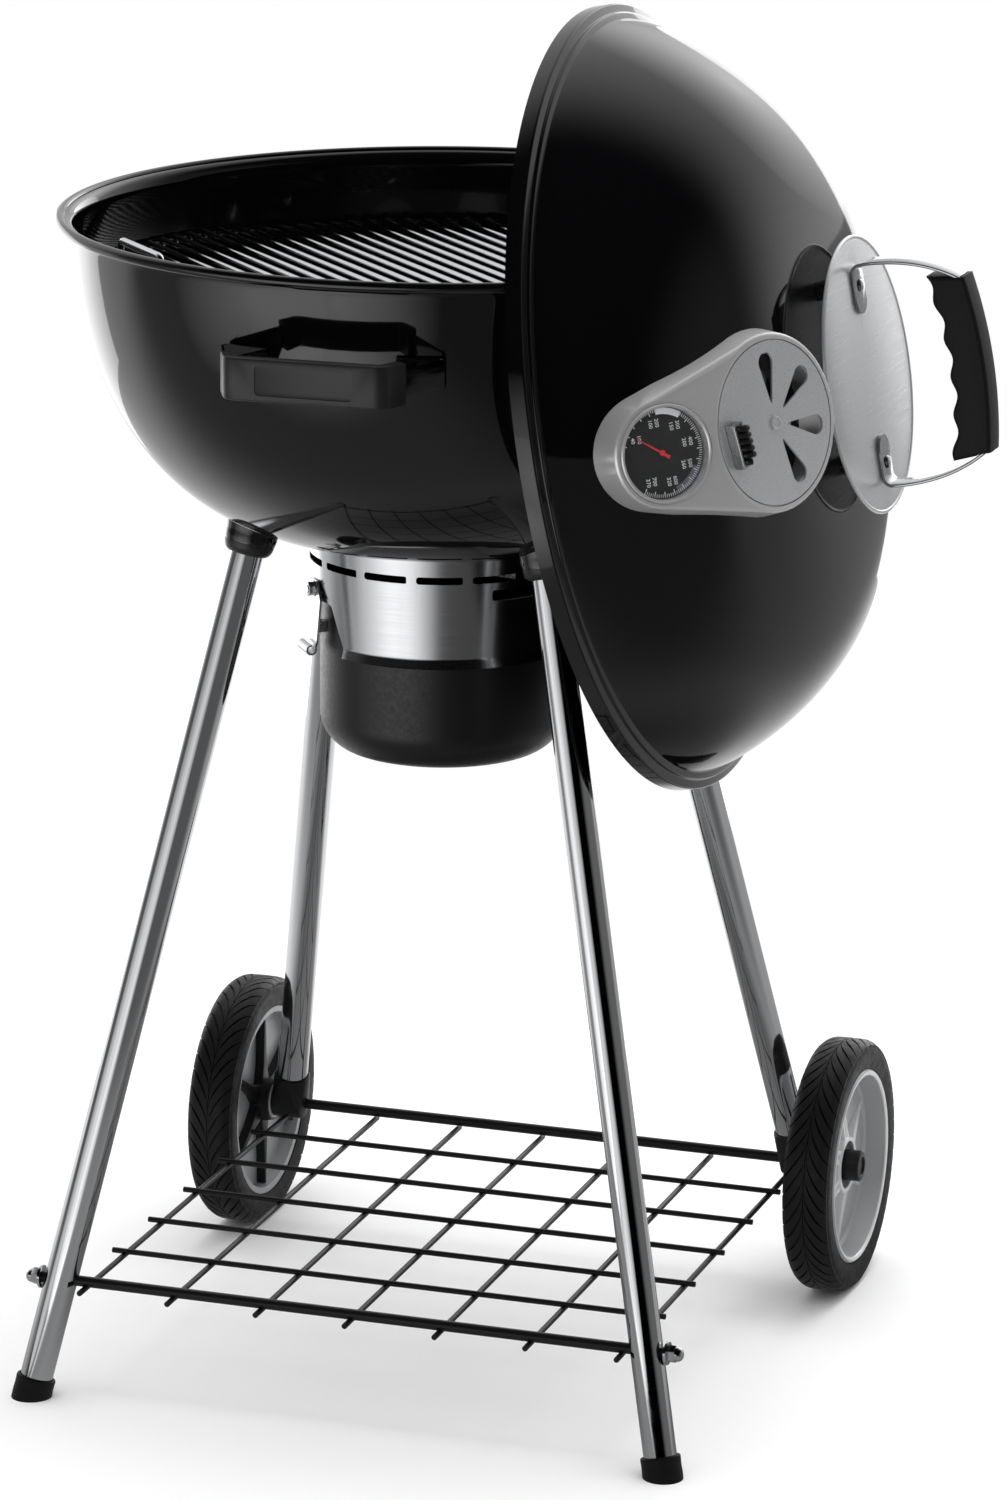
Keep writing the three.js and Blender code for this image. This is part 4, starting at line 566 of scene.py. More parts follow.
def plate(loops: list[Line], low: float, high: float, edge: float = 0.3, steps: int = 1) -> Solid:
    """A flat plate from its outline and holes, with softened edges.

    Args:
        loops: the outline, then each hole.
        low: height of its underside.
        high: height of its upper side.
        edge: how far its edges are rounded.
        steps: parts of that rounding.

    Returns:
        The plate.
    """
    data = bpy.data.curves.new("outline", "CURVE")
    data.dimensions, data.fill_mode = "2D", "BOTH"
    data.extrude, data.bevel_depth, data.bevel_resolution = (high - low) / 2 - edge, edge, steps
    data.offset = -edge
    for loop in loops:
        spline = data.splines.new("POLY")
        spline.points.add(len(loop) - 1)
        spline.points.foreach_set("co", [c for x, y in loop for c in (x, y, 0, 1)])
        spline.use_cyclic_u = True
    shape = worked(add_object("outline", data))
    return Solid(shape.verts, shape.faces).moved(Matrix.Translation((0, 0, (low + high) / 2)))


def strip(line: Line, thickness: float, half: float, edge: float = 0.4) -> Solid:
    """A line given an even thickness, and a width along Z of half on either side."""
    outline = offset(line, thickness / 2) + offset(line, -thickness / 2)[::-1]
    return plate([outline], -half, half, edge)


def block(low: tuple, high: tuple) -> Solid:
    """A box between two corners.

    Args:
        low: the lowest X, Y and Z.
        high: the highest.

    Returns:
        The box.
    """
    x, y, z = zip(low, high)
    verts = [(x[i], y[j], z[k]) for i in (0, 1) for j in (0, 1) for k in (0, 1)]
    return Solid(verts, [(0, 1, 3, 2), (4, 6, 7, 5), (0, 4, 5, 1), (2, 3, 7, 6), (0, 2, 6, 4), (1, 5, 7, 3)])


def hull(points: list[Vector]) -> Solid:
    """The convex shape round some points.

    Args:
        points: the points.

    Returns:
        The shape, with flat faces merged.
    """
    work = bmesh.new()
    for point in points:
        work.verts.new(point)
    found = bmesh.ops.convex_hull(work, input=work.verts)
    bmesh.ops.delete(work, geom=list({v for v in found["geom_interior"] + found["geom_unused"]
                                      if isinstance(v, bmesh.types.BMVert)}), context="VERTS")
    bmesh.ops.dissolve_limit(work, angle_limit=0.002, verts=work.verts, edges=work.edges)
    mesh = bpy.data.meshes.new("hull")
    work.to_mesh(mesh)
    work.free()
    return solid_of(mesh)


def carve(body: Solid, tools: list[Solid], operation: str = "DIFFERENCE") -> Solid:
    """Cuts shapes out of a body, or joins them to it.

    Args:
        body: the shape that is worked.
        tools: the shapes that work it.
        operation: DIFFERENCE or UNION.

    Returns:
        The worked shape.
    """
    base = add_object("base", body.mesh("base"))
    holders = bpy.data.collections.new("tools")
    for tool in tools:
        holders.objects.link(bpy.data.objects.new("tool", tool.mesh("tool")))
    change = base.modifiers.new("carve", "BOOLEAN")
    change.operation, change.operand_type, change.collection = operation, "COLLECTION", holders
    change.solver = "EXACT"
    shape = worked(base)
    for holder in list(holders.objects):
        bpy.data.objects.remove(holder)
    bpy.data.collections.remove(holders)
    return shape


# ---------- Geometry Nodes: what repeats or follows a path ----------


class Pattern:
    """A Geometry Nodes tree with named inputs, run once and kept as a plain mesh."""

    def __init__(self, name: str, inputs: dict[str, str]) -> None:
        """Starts the tree.

        Args:
            name: the tree's name.
            inputs: socket type by input name, after the geometry and before the finish.
        """
        self.tree = bpy.data.node_groups.new(name, "GeometryNodeTree")
        face = self.tree.interface
        face.new_socket("Geometry", in_out="OUTPUT", socket_type="NodeSocketGeometry")
        face.new_socket("Piece", in_out="INPUT", socket_type="NodeSocketGeometry")
        self.sockets = {key: face.new_socket(key, in_out="INPUT", socket_type="NodeSocket" + kind).identifier
                        for key, kind in {**inputs, "Finish": "Material"}.items()}
        self.input = self.tree.nodes.new("NodeGroupInput")

    def node(self, kind: str, settings: dict | None = None, inputs: dict | None = None) -> bpy.types.Node:
        """Adds a node of the tree."""
        return add_node(self.tree, kind, settings, inputs)

    def value(self, key: str) -> bpy.types.NodeSocket:
        """The output of one named input."""
        return self.input.outputs[key]

    def math(self, operation: str, *values: float | bpy.types.NodeSocket) -> bpy.types.NodeSocket:
        """The output of a math node."""
        return calculate(self.tree, operation, *values)

    def vector(self, x: object = 0.0, y: object = 0.0, z: object = 0.0) -> bpy.types.NodeSocket:
        """A vector from three values or sockets."""
        return self.node("ShaderNodeCombineXYZ", inputs={"X": x, "Y": y, "Z": z}).outputs[0]

    def close(self, geometry: bpy.types.NodeSocket) -> "Pattern":
        """Ends the tree: instances become real and take the finish.

        Args:
            geometry: what the tree has made.

        Returns:
            The pattern itself.
        """
        real = self.node("GeometryNodeRealizeInstances", inputs={0: geometry})
        dressed = self.node("GeometryNodeSetMaterial", inputs={0: real.outputs[0], "Material": self.value("Finish")})
        self.node("NodeGroupOutput", inputs={0: dressed.outputs[0]})
        return self

    def run(self, finish: Finish, piece: Solid | None = None, **values: float) -> Solid:
        """Runs the tree on a piece.

        Args:
            finish: the finish of the result.
            piece: the shape that goes in, where the tree takes one.
            values: the named inputs.

        Returns:
            The shape that comes out.
        """
        holder = add_object("pattern", (piece or Solid()).mesh("pattern"))
        change = holder.modifiers.new("pattern", "NODES")
        change.node_group = self.tree
        for key, value in {**values, "Finish": finish.material()}.items():
            change[self.sockets[key]] = value
        return worked(holder)


def ring_pattern() -> Pattern:
    """Copies of a piece turned round the Z axis: spokes, slots, tread blocks, dial marks.

    Returns:
        The pattern.
    """
    made = Pattern("ring_of_copies", {"Count": "Int", "First": "Float", "Step": "Float"})
    points = made.node("GeometryNodeMeshLine", inputs={"Count": made.value("Count"), "Offset": (0, 0, 0)})
    index = made.node("GeometryNodeInputIndex").outputs[0]
    degrees = made.math("ADD", made.math("MULTIPLY", index, made.value("Step")), made.value("First"))
    turn = made.vector(z=made.math("RADIANS", degrees))
    copies = made.node("GeometryNodeInstanceOnPoints", inputs={"Points": points.outputs[0],
                                                               "Instance": made.value("Piece"), "Rotation": turn})
    return made.close(copies.outputs[0])


def row_pattern() -> Pattern:
    """Copies of a piece in a straight row: the shelf's wires.

    Returns:
        The pattern.
    """
    made = Pattern("row_of_copies", {"Count": "Int", "Step": "Vector"})
    points = made.node("GeometryNodeMeshLine", inputs={"Count": made.value("Count"), "Offset": made.value("Step")})
    copies = made.node("GeometryNodeInstanceOnPoints", inputs={"Points": points.outputs[0],
                                                               "Instance": made.value("Piece")})
    return made.close(copies.outputs[0])


def chord_pattern() -> Pattern:
    """Parallel wires across a ring, each cut to the ring's width at its place: the grates.

    Returns:
        The pattern.
    """
    made = Pattern("wires_across_ring", {"First": "Int", "Last": "Int", "Pitch": "Float", "Ring": "Float",
                                         "Wire": "Float", "Height": "Float"})
    count = made.math("ADD", made.math("SUBTRACT", made.value("Last"), made.value("First")), 1.0)
    points = made.node("GeometryNodeMeshLine", inputs={"Count": count, "Offset": (0, 0, 0)})
    index = made.node("GeometryNodeInputIndex").outputs[0]
    across = made.math("MULTIPLY", made.math("ADD", index, made.value("First")), made.value("Pitch"))
    gone = made.math("SUBTRACT", made.math("POWER", made.value("Ring"), 2.0), made.math("MULTIPLY", across, across))
    half = made.math("ADD", made.math("SQRT", gone), made.math("MULTIPLY", made.value("Wire"), 0.5))
    line = made.node("GeometryNodeCurvePrimitiveLine", inputs={"Start": (-1, 0, 0), "End": (1, 0, 0)})
    moved = made.node("GeometryNodeSetPosition", inputs={0: points.outputs[0],
                                                         "Offset": made.vector(y=across, z=made.value("Height"))})
    copies = made.node("GeometryNodeInstanceOnPoints", inputs={
        "Points": moved.outputs[0], "Instance": line.outputs[0], "Scale": made.vector(half, 1.0, 1.0)})
    real = made.node("GeometryNodeRealizeInstances", inputs={0: copies.outputs[0]})
    profile = made.node("GeometryNodeCurvePrimitiveCircle", inputs={"Resolution": 16, "Radius": made.value("Wire")})
    wires = made.node("GeometryNodeCurveToMesh", inputs={0: real.outputs[0], 1: profile.outputs[0], "Fill Caps": True})
    return made.close(wires.outputs[0])


def coil_pattern() -> Pattern:
    """A wound wire about the Z axis: the vent tab's grip.

    Returns:
        The pattern.
    """
    made = Pattern("wound_wire", {"Turns": "Float", "Radius": "Float", "Length": "Float", "Wire": "Float"})
    spiral = made.node("GeometryNodeCurveSpiral", inputs={
        "Resolution": 24, "Rotations": made.value("Turns"), "Start Radius": made.value("Radius"),
        "End Radius": made.value("Radius"), "Height": made.value("Length")})
    profile = made.node("GeometryNodeCurvePrimitiveCircle", inputs={"Resolution": 10, "Radius": made.value("Wire")})
    wound = made.node("GeometryNodeCurveToMesh",
                      inputs={0: spiral.outputs[0], 1: profile.outputs[0], "Fill Caps": True})
    return made.close(wound.outputs[0])


RING = ring_pattern()
ROW = row_pattern()
CHORDS = chord_pattern()
COIL = coil_pattern()

# ---------- placing ----------

POT_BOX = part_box("ash_pot")
AXIS = Vector(((POT_BOX[0][0] + POT_BOX[1][0]) / 2, (POT_BOX[0][1] + POT_BOX[1][1]) / 2, 0.0))  # the bowl's axis


@dataclass
class SubAssembly:
    """A group of pieces built together."""

    def build(self) -> None:
        """Builds and dresses every piece."""
        raise NotImplementedError

    def piece(self, name: str, shape: Solid, finish: Finish, body: Body, nodes: tuple[str, ...] = (),
              crease: float = 32.0, bevel: float = 0.0) -> bpy.types.Object:
        """Makes a finished piece in the frame.

        Args:
            name: the piece's name.
            shape: its shape in the bowl's frame.
            finish: its finish.
            body: the body that it rides on.
            nodes: the CAD nodes that it stands for.
            crease: edges sharper than this, in degrees, stay sharp.
            bevel: width of the bevel on them, mm.

        Returns:
            The piece.
        """
        mesh = shape.mesh(name, MM, AXIS)
        mesh.materials.append(finish.material())
        mesh.shade_smooth()
        mesh.set_sharp_from_angle(angle=math.radians(crease))
        made = add_object(name, mesh)
        if bevel:
            edge = made.modifiers.new("edge", "BEVEL")
            edge.width, edge.segments, edge.angle_limit = bevel * MM, 2, math.radians(crease)
            edge.limit_method, edge.harden_normals, edge.use_clamp_overlap = "ANGLE", True, True
        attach(made, body.value)
        if nodes:
            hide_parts(*nodes)
        LOG.info("%s: %d faces, %s", name, len(mesh.polygons), finish.name)
        return made


# ---------- bowl ----------


@dataclass
class Bowl(SubAssembly):
    """The enamelled bowl with its rolled rim, and the brackets inside it."""

    radius: float = 265.8
    sheet: float = 1.6
    depth: float = 225.0
    lip_height: float = 10.8
    rim_height: float = 854.3
    rim_radius: float = 274.9
    bead: float = 3.9
    side: float = 0.62
    floor: float = 1.05
    vent_inner: float = 28.0
    vent_outer: float = 74.0
    vent_angle: float = 38.0
    vents: int = 3
    spindle_hole: float = 4.6
    ledge_drop: float = 57.8  # from the rim to the brackets' ledges for the cooking grate
    foot_drop: float = 164.2  # and to the charcoal grate's
    bracket_angles: tuple[float, ...] = (75, 195, 315)

    def line(self, steps: int = 72) -> Line:
        """Outer line from the floor up to the lip.

        Args:
            steps: parts of the line.

        Returns:
            Radius and height of its points.
        """
        top = self.rim_height - self.lip_height
        angles = [math.pi / 2 * (1 - i / steps) for i in range(1, steps + 1)]
        return [(0, top - self.depth)] + [(self.radius * math.cos(a) ** self.side,
                                           top - self.depth * math.sin(a) ** self.floor) for a in angles]

    def height_at(self, radius: float) -> float:
        """Height of the outer face at a distance from the axis.

        Args:
            radius: the distance.

        Returns:
            The height, or the rim's beyond it.
        """
        for (r0, z0), (r1, z1) in zip(self.line(), self.line()[1:]):
            if r1 >= radius:
                return z0 + (z1 - z0) * (radius - r0) / (r1 - r0)
        return self.rim_height

    def radius_at(self, z: float) -> float:
        """Distance of the outer face from the axis at a height.

        Args:
            z: the height.

        Returns:
            The distance, or the full radius above the shell.
        """
        for (r0, z0), (r1, z1) in zip(self.line(), self.line()[1:]):
            if z1 >= z:
                return r0 + (r1 - r0) * (z - z0) / (z1 - z0)
        return self.radius

    def room(self, grow: float = GAP) -> Solid:
        """The bowl's room and what is above it, to trim what is fitted under it.

        Args:
            grow: how much larger than the bowl it is.

        Returns:
            The room as a solid.
        """
        line = offset(self.line(), -grow)
        line[0] = (0, line[0][1])
        return revolve([*line, (self.radius + grow, self.rim_height), (0, self.rim_height)], 128)

    def shell(self) -> Solid:
        """The shell with its rolled bead, its ash vents and the spindle's hole.

        Returns:
            The bowl.
        """
        lip = curve([(self.radius, self.rim_height - self.lip_height), (self.radius, self.rim_height),
                     (self.rim_radius - self.bead / 2, self.rim_height)])[1:]
        outer = self.line() + lip
        inner = offset(outer, self.sheet)
        inner[0] = (0, inner[0][1])
        bead = arc(self.rim_radius, self.rim_height, self.bead, -150, 150, 20)
        shell = revolve([*outer[:-1], *bead, *inner[:-1][::-1]], 160)
        low, high = -self.vent_angle / 2, self.vent_angle / 2
        outline = arc(0, 0, self.vent_outer, low, high, 10) + arc(0, 0, self.vent_inner, high, low, 6)
        z = self.height_at(0)
        hole = plate([outline], z - 3, z + 8)
        holes = RING.run(ENAMEL, hole, Count=self.vents, First=0.0, Step=360 / self.vents)
        return carve(shell, [holes, disc(self.spindle_hole, z - 3, z + 8, sides=24)])

    def bracket(self, angle: float) -> Solid:
        """A sheet bracket with a ledge for each grate.

        Args:
            angle: where it stands, in degrees from +X.

        Returns:
            The bracket.
        """
        ledge, foot = self.rim_height - self.ledge_drop, self.rim_height - self.foot_drop
        inside = [(self.radius_at(z) - self.sheet - GAP - 1.2, z) for z in
                  (foot + 1.4, foot + 27.4, foot + 52.4, foot + 77.4, ledge - 4, ledge)]
        upper = (inside[-1][0] - 14, ledge)
        line = rounded([(inside[0][0] - 26, foot), (inside[0][0], foot), *inside, upper], 3)
        return strip(line, 2.4, 8, 0.5).moved(UPRIGHT).turned(angle)

    def build(self) -> None:
        """Builds the bowl and its brackets."""
        self.piece("bowl_shell", self.shell(), ENAMEL, Body.STAND, ("bowl",), crease=50)
        for i, angle in enumerate(self.bracket_angles, start=1):
            self.piece(f"bracket_{i}", self.bracket(angle), TUMBLED_STEEL, Body.STAND, (f"grate_bracket_{i}",))


@dataclass
class BowlHandle(SubAssembly):
    """The front handle: a bent strap on two rivets with a moulded grip over it."""

    bowl: Bowl
    turn: float = 2.5
    height: float = 795.0
    half_strap: float = 9.5
    strap_thick: float = 2.4
    standoff: float = 318.0
    half_length: float = 54.0
    arm: float = 80.0
    foot: float = 34.0
    grip_half_height: float = 15.0
    grip_thick: float = 9.0
    grip_half_length: float = 62.0
    recess: tuple[float, float, float] = (70.0, 21.0, 0.8)

    def seat(self, x: float) -> float:
        """Where the strap's middle lies on the bowl, at a sideways place."""
        radius = self.bowl.radius_at(self.height + self.half_strap)
        return -(math.sqrt(radius ** 2 - x * x) + self.strap_thick / 2 + GAP)

    def line(self) -> Line:
        """Middle line of the strap from the left foot to the right.

        Returns:
            Its points, sideways and from front to rear.
        """
        edge = self.arm - self.foot
        foot = [(x, self.seat(x)) for x in (edge, edge + 10, edge + 20, self.arm - 2.4)]
        half = [*foot, (self.arm, self.seat(self.arm) - 5), (self.half_length + self.grip_thick, -self.standoff + 18),
                (self.half_length, -self.standoff)]
        return rounded([(-x, y) for x, y in half] + half[::-1], 5)

    def place(self, shape: Solid) -> Solid:
        """Puts a piece of the handle, made with its front towards -Y, at its place."""
        return shape.turned(self.turn).moved(Matrix.Translation((0, 0, self.height)))

    def grip(self) -> Solid:
        """The grip: a box that bends round the strap, with a bare recessed field in front.

        Returns:
            The grip.
        """
        lead = [(self.grip_half_length, -self.standoff + 18), (self.half_length, -self.standoff)]
        line = rounded([(-x, y) for x, y in lead] + lead[::-1], 9, 8)
        body = strip(line, self.grip_thick, self.grip_half_height, 1.8)
        channel = strip(self.line(), self.strap_thick + 0.6, self.half_strap + GAP, 0.2)
        length, height, depth = self.recess
        front = -self.standoff - self.grip_thick / 2
        corners = [(length / 2, height / 2), (-length / 2, height / 2), (-length / 2, -height / 2),
                   (length / 2, -height / 2)]
        field = plate([rounded_loop(corners, 4)], -depth, 3, 0.25)
        return carve(body, [channel, field.moved(Matrix.Translation((0, front, 0)) @ UPRIGHT)])

    def rivet(self, side: Side) -> Solid:
        """A domed rivet on the strap's foot, square to the bowl.

        Args:
            side: which foot.

        Returns:
            The rivet.
        """
        x = side.value * (self.arm - self.foot / 2)
        seat = Vector((x, self.seat(x), 0))
        head = [(0, -4), (2.4, -4), (2.4, 1.2), (5.4, 1.2), *curve([(5.4, 1.4), (5.0, 3.3), (0, 3.5)], 8)]
        return revolve(head, 32).moved(along(seat, seat * 2))

    def build(self) -> None:
        """Builds strap, grip and rivets."""
        strap = strip(self.line(), self.strap_thick, self.half_strap, 0.6)
        self.piece("handle_strap", self.place(strap), BLACK_NICKEL, Body.STAND, ("bowl_handle_strap",), crease=40)
        self.piece("handle_grip", self.place(self.grip()), NYLON, Body.STAND, ("bowl_handle_grip",), crease=40)
        for side in Side:
            self.piece(f"handle_rivet_{side.word}", self.place(self.rivet(side)), TUMBLED_STEEL, Body.STAND,
                       (f"bowl_handle_rivet_{side.word}",))


# ---------- grates ----------


@dataclass
class Grates(SubAssembly):
    """The cooking grate with its two hinged flaps, and the charcoal grate below it."""

    height: float = 808.5
    wire: float = 2.5
    ring_wire: float = 3.0
    weld: float = 0.9
    ring: float = 255.03
    pitch: float = 13.87
    hinge: int = 11
    turn: float = -45.0
    bar_offset: float = 60.0
    link_offset: float = 45.0
    loop_half: float = 36.5
    loop_height: float = 39.0
    coal_height: float = 698.3
    coal_ring: float = 205.02
    coal_pitch: float = 20.0

    def wire_ring(self, radius: float, z: float) -> Solid:
        """The welded ring under a grate's wires."""
        return revolve(arc(radius, z, self.ring_wire, 0, 337.5, 15), 160, closed=True)

    def chords(self, first: int, last: int, pitch: float, ring: float, z: float, finish: Finish) -> Solid:
        """The wires from one number to another."""
        return CHORDS.run(finish, First=first, Last=last, Pitch=pitch, Ring=ring, Wire=self.wire, Height=z)

    def grate(self, ring: float, z: float, pitch: float, last: int, finish: Finish) -> Solid:
        """A ring with its wires."""
        low = z - self.wire - self.ring_wire + self.weld
        return self.wire_ring(ring, low) + self.chords(-last, last, pitch, ring, z, finish)

    def flap(self) -> Solid:
        """A hinged flap on the +Y side, before it is turned to its place.

        Returns:
            Its wires, bars, hinge eyes and loop.
        """
        z = self.height + self.weld + GAP
        bar_z = z - 2 * self.wire + self.weld
        last = int((self.ring - self.ring_wire) / self.pitch)
        shape = self.chords(self.hinge + 1, last, self.pitch, self.ring, z, CHROME)
        hinge_y, start = self.hinge * self.pitch, (self.hinge + 0.5) * self.pitch
        reach = math.sqrt((self.ring - self.ring_wire - GAP) ** 2 - (self.bar_offset + self.wire) ** 2) - self.wire
        loop_y = (last - 1) * self.pitch
        eye = [Vector((0, y, h)) for y, h in [*arc(hinge_y, self.height, 2 * self.wire + GAP, 185, 0, 14),
                                              (hinge_y + 2 * self.wire + GAP, bar_z + 2), (start + 1, bar_z),
                                              (start + 4, bar_z)]]
        for s in (-1, 1):
            x = s * self.bar_offset
            shape += rod(Vector((x, start, bar_z)), Vector((x, reach, bar_z)), self.wire, 16)
            shape += tube([p + Vector((x, 0, 0)) for p in eye], self.wire * 0.96, 12)
            link = s * self.link_offset
            shape += rod(Vector((link, loop_y, z)), Vector((link, last * self.pitch, z)), self.wire, 16)
        half, top = self.loop_half, z + self.loop_height
        corners = [(-half, z), (-half, top), (half, top), (half, z)]
        path = [Vector((x, loop_y, h)) for x, h in rounded(corners, 7, 8)]
        return shape + tube(path, self.wire, 16)

    def build(self) -> None:
        """Builds both grates and the flaps."""
        grate = self.grate(self.ring, self.height, self.pitch, self.hinge, CHROME)
        self.piece("cooking_grate_wires", grate.turned(self.turn), CHROME, Body.COOKING_GRATE, ("cooking_grate",),
                   bevel=0.3)
        for side, body, turn in ((Side.LEFT, Body.FLAP_LEFT, 180), (Side.RIGHT, Body.FLAP_RIGHT, 0)):
            self.piece(f"flap_wires_{side.word}", self.flap().turned(self.turn + turn), CHROME, body,
                       (f"grate_flap_{side.word}",), bevel=0.3)
        last = int((self.coal_ring - self.ring_wire) / self.coal_pitch)
        coal = self.grate(self.coal_ring, self.coal_height, self.coal_pitch, last, TUMBLED_STEEL)
        self.piece("charcoal_grate_wires", coal, TUMBLED_STEEL, Body.STAND, ("charcoal_grate",), bevel=0.3)


# ---------- stand ----------


@dataclass
class Stand(SubAssembly):
    """Four chromed tube legs in enamelled sockets, the wire shelf and the axle."""

    bowl: Bowl
    top: float = 636.31  # height at which the legs' axes meet the bowl
    tube: float = 12.0
    circle: float = 146.0
    front_angle: float = 49.4
    rear_angle: float = 51.0
    front_foot: tuple[float, float] = (242.5, -209.5)
    bracket_x: float = 208.5
    bracket_half: float = 11.5
    axle_y: float = 231.3
    axle_z: float = 97.0
    axle_radius: float = 4.0
    axle_half: float = 253.2
    rod_z: float = 87.5
    rod_radius: float = 4.0
    rod_hole: float = 4.3
    shelf_wire: float = 2.1
    weld: float = 0.9  # how far welded wires sink into each other
    first_cross: float = 74.0  # from the front rod to the first cross wire
    pitch_x: float = 68.5
    pitch_y: float = 70.6

    def ends(self, front: bool, side: Side) -> tuple[Vector, Vector]:
        """Where a leg's axis meets the bowl, and its lower end.

        Args:
            front: whether it is a front leg.
            side: its side.

        Returns:
            The upper and the lower point.
        """
        angle = math.radians(self.front_angle if front else self.rear_angle)
        top = Vector((side.value * self.circle * math.sin(angle), (-1 if front else 1) * self.circle * math.cos(angle),
                      self.top))
        if front:
            return top, Vector((side.value * self.front_foot[0], self.front_foot[1], 0))
        return top, Vector((side.value * self.bracket_x, self.axle_y, self.axle_z))

    def socket(self, front: bool, side: Side) -> Solid:
        """The enamelled boss that blends from the bowl to the leg.

        Args:
            front: whether it is on a front leg.
            side: its side.

        Returns:
            The socket.
        """
        skirt = curve([(30, -26), (19.4, -6), (19.0, 3)], 12) + curve([(19.0, 4), (18.9, 8), (18.2, 10)], 6)
        profile = [(0, -30), (32, -30), *skirt, (12.4, 10), (12.4, 1), (0, 1)]
        return carve(revolve(profile, 64).moved(along(*self.ends(front, side))), [self.bowl.room()])

    def collar(self, front: bool, side: Side) -> Solid:
        """The moulded collar under a socket, rounded at its lower edge."""
        profile = [(12.4, 10.1), (18.1, 10.1), *curve([(18.1, 10.4), (17.4, 16.6), (13.6, 18.3)], 12), (12.4, 18.3)]
        return revolve(profile, 64, closed=True).moved(along(*self.ends(front, side)))

    def leg(self, front: bool, side: Side) -> Solid:
        """A chromed tube; a front one has holes for the shelf's rod.

        Args:
            front: whether it is a front leg.
            side: its side.

        Returns:
            The tube.
        """
        top, foot = self.ends(front, side)
        end = (foot - top).length - (4.3 if front else 17.0)
        profile = [(10.6, 7.5), (11.7, 7.5), (12, 7.8), (12, end - 0.4), (11.6, end), (10.6, end)]
        tube_shape = revolve(profile, 64, closed=True).moved(along(top, foot))
        if not front:
            return tube_shape
        at = foot.lerp(top, self.rod_z / top.z)
        out = Vector((side.value * 30, 0, 0))
        return carve(tube_shape, [rod(at - out, at + out, self.rod_hole, 24)])

    def foot_cap(self, side: Side) -> Solid:
        """The rubber cap of a front leg: a short sleeve that widens to a flat sole.

        Args:
            side: which leg.

        Returns:
            The cap.
        """
        top, foot = self.ends(True, side)
        end = (foot - top).length
        profile = [(0, end + 9), (14.2, end + 9), (14.6, end - 3), (14.3, end - 8), (14.5, end - 14.3),
                   (14.0, end - 15.5), (12.4, end - 15.5), (12.4, end - 4), (0, end - 4)]
        sole = block((foot.x - 60, foot.y - 60, -60), (foot.x + 60, foot.y + 60, 0))
        return carve(revolve(rounded(profile, 1.2, 3), 64).moved(along(top, foot)), [sole])

    def axle_bracket(self, side: Side) -> Solid:
        """The moulded foot of a rear leg: a sleeve for the tube, closing to a barrel round the axle.

        Args:
            side: which leg.

        Returns:
            The bracket.
        """
        top, foot = self.ends(False, side)
        up = (top - foot).normalized()
        points = [v for step in (0.0, 1.0) for v in
                  disc(12 - 0.8 * (1 - step), 0.8 * (1 - step) - self.bracket_half,
                       self.bracket_half - 0.8 * (1 - step), sides=32).moved(
                      Matrix.Translation(foot) @ Matrix.Rotation(math.pi / 2, 4, "Y")).verts]
        points += disc(14, 15, 26, sides=32).moved(along(foot, foot + up)).verts
        points += disc(13.4, 15, 27, sides=32).moved(along(foot, foot + up)).verts
        bore = disc(12.3, 16.7, 60, sides=48).moved(along(foot, foot + up))
        axle = rod(foot - Vector((40, 0, 0)), foot + Vector((40, 0, 0)), self.rod_hole, 24)
        return carve(hull(points), [bore, axle])

    def wire_z(self, y: float) -> float:
        """Height of the shelf's long wires at a distance from front to rear.

        Args:
            y: the distance.

        Returns:
            The height of a wire's axis.
        """
        front = self.rod_z - self.rod_radius - self.shelf_wire + self.weld
        rear = self.axle_z - self.axle_radius - self.shelf_wire - GAP
        return front + (rear - front) * (y - self.rod_y) / (self.axle_y - self.rod_y)

    @property
    def rod_y(self) -> float:
        """Place of the shelf's front rod."""
        top, foot = self.ends(True, Side.RIGHT)
        return foot.lerp(top, self.rod_z / top.z).y

    @property
    def rod_end(self) -> float:
        """Where the washers lie against the leaning front legs.

        Returns:
            The distance from the middle.
        """
        top, foot = self.ends(True, Side.RIGHT)
        lean = (foot.x - top.x) / top.z
        return foot.lerp(top, self.rod_z / top.z).x + self.tube * math.hypot(1, lean) + 8.5 * lean + GAP

    def shelf(self) -> Solid:
        """The painted wire shelf: long wires under the front rod, cross wires on them.

        Returns:
            The shelf with its front rod.
        """
        front = self.rod_y - 12
        inner, outer = self.axle_y + self.axle_radius, self.axle_y - self.tube - self.weld - self.axle_radius
        half = 3 * self.pitch_x

        def long_wire(x: float, end: float) -> Solid:
            """A long wire at a sideways place, ending at a distance to the rear."""
            return rod(Vector((x, front, self.wire_z(front))), Vector((x, end, self.wire_z(end))), self.shelf_wire, 16)

        shape = ROW.run(POWDER_COAT, long_wire(-2 * self.pitch_x, inner), Count=5, Step=(self.pitch_x, 0, 0))
        shape += ROW.run(POWDER_COAT, long_wire(-half, outer), Count=2, Step=(2 * half, 0, 0))
        y = self.rod_y + self.first_cross
        z, rise = self.wire_z(y) + 2 * self.shelf_wire - self.weld, self.wire_z(y + self.pitch_y) - self.wire_z(y)
        cross = rod(Vector((-half - 9, y, z)), Vector((half + 9, y, z)), self.shelf_wire, 16)
        shape += ROW.run(POWDER_COAT, cross, Count=5, Step=(0, self.pitch_y, rise))
        end = self.rod_end + 7.5
        ends = [Vector((s * end, self.rod_y, self.rod_z)) for s in (-1, 1)]
        return shape + rod(*ends, self.rod_radius, 24)

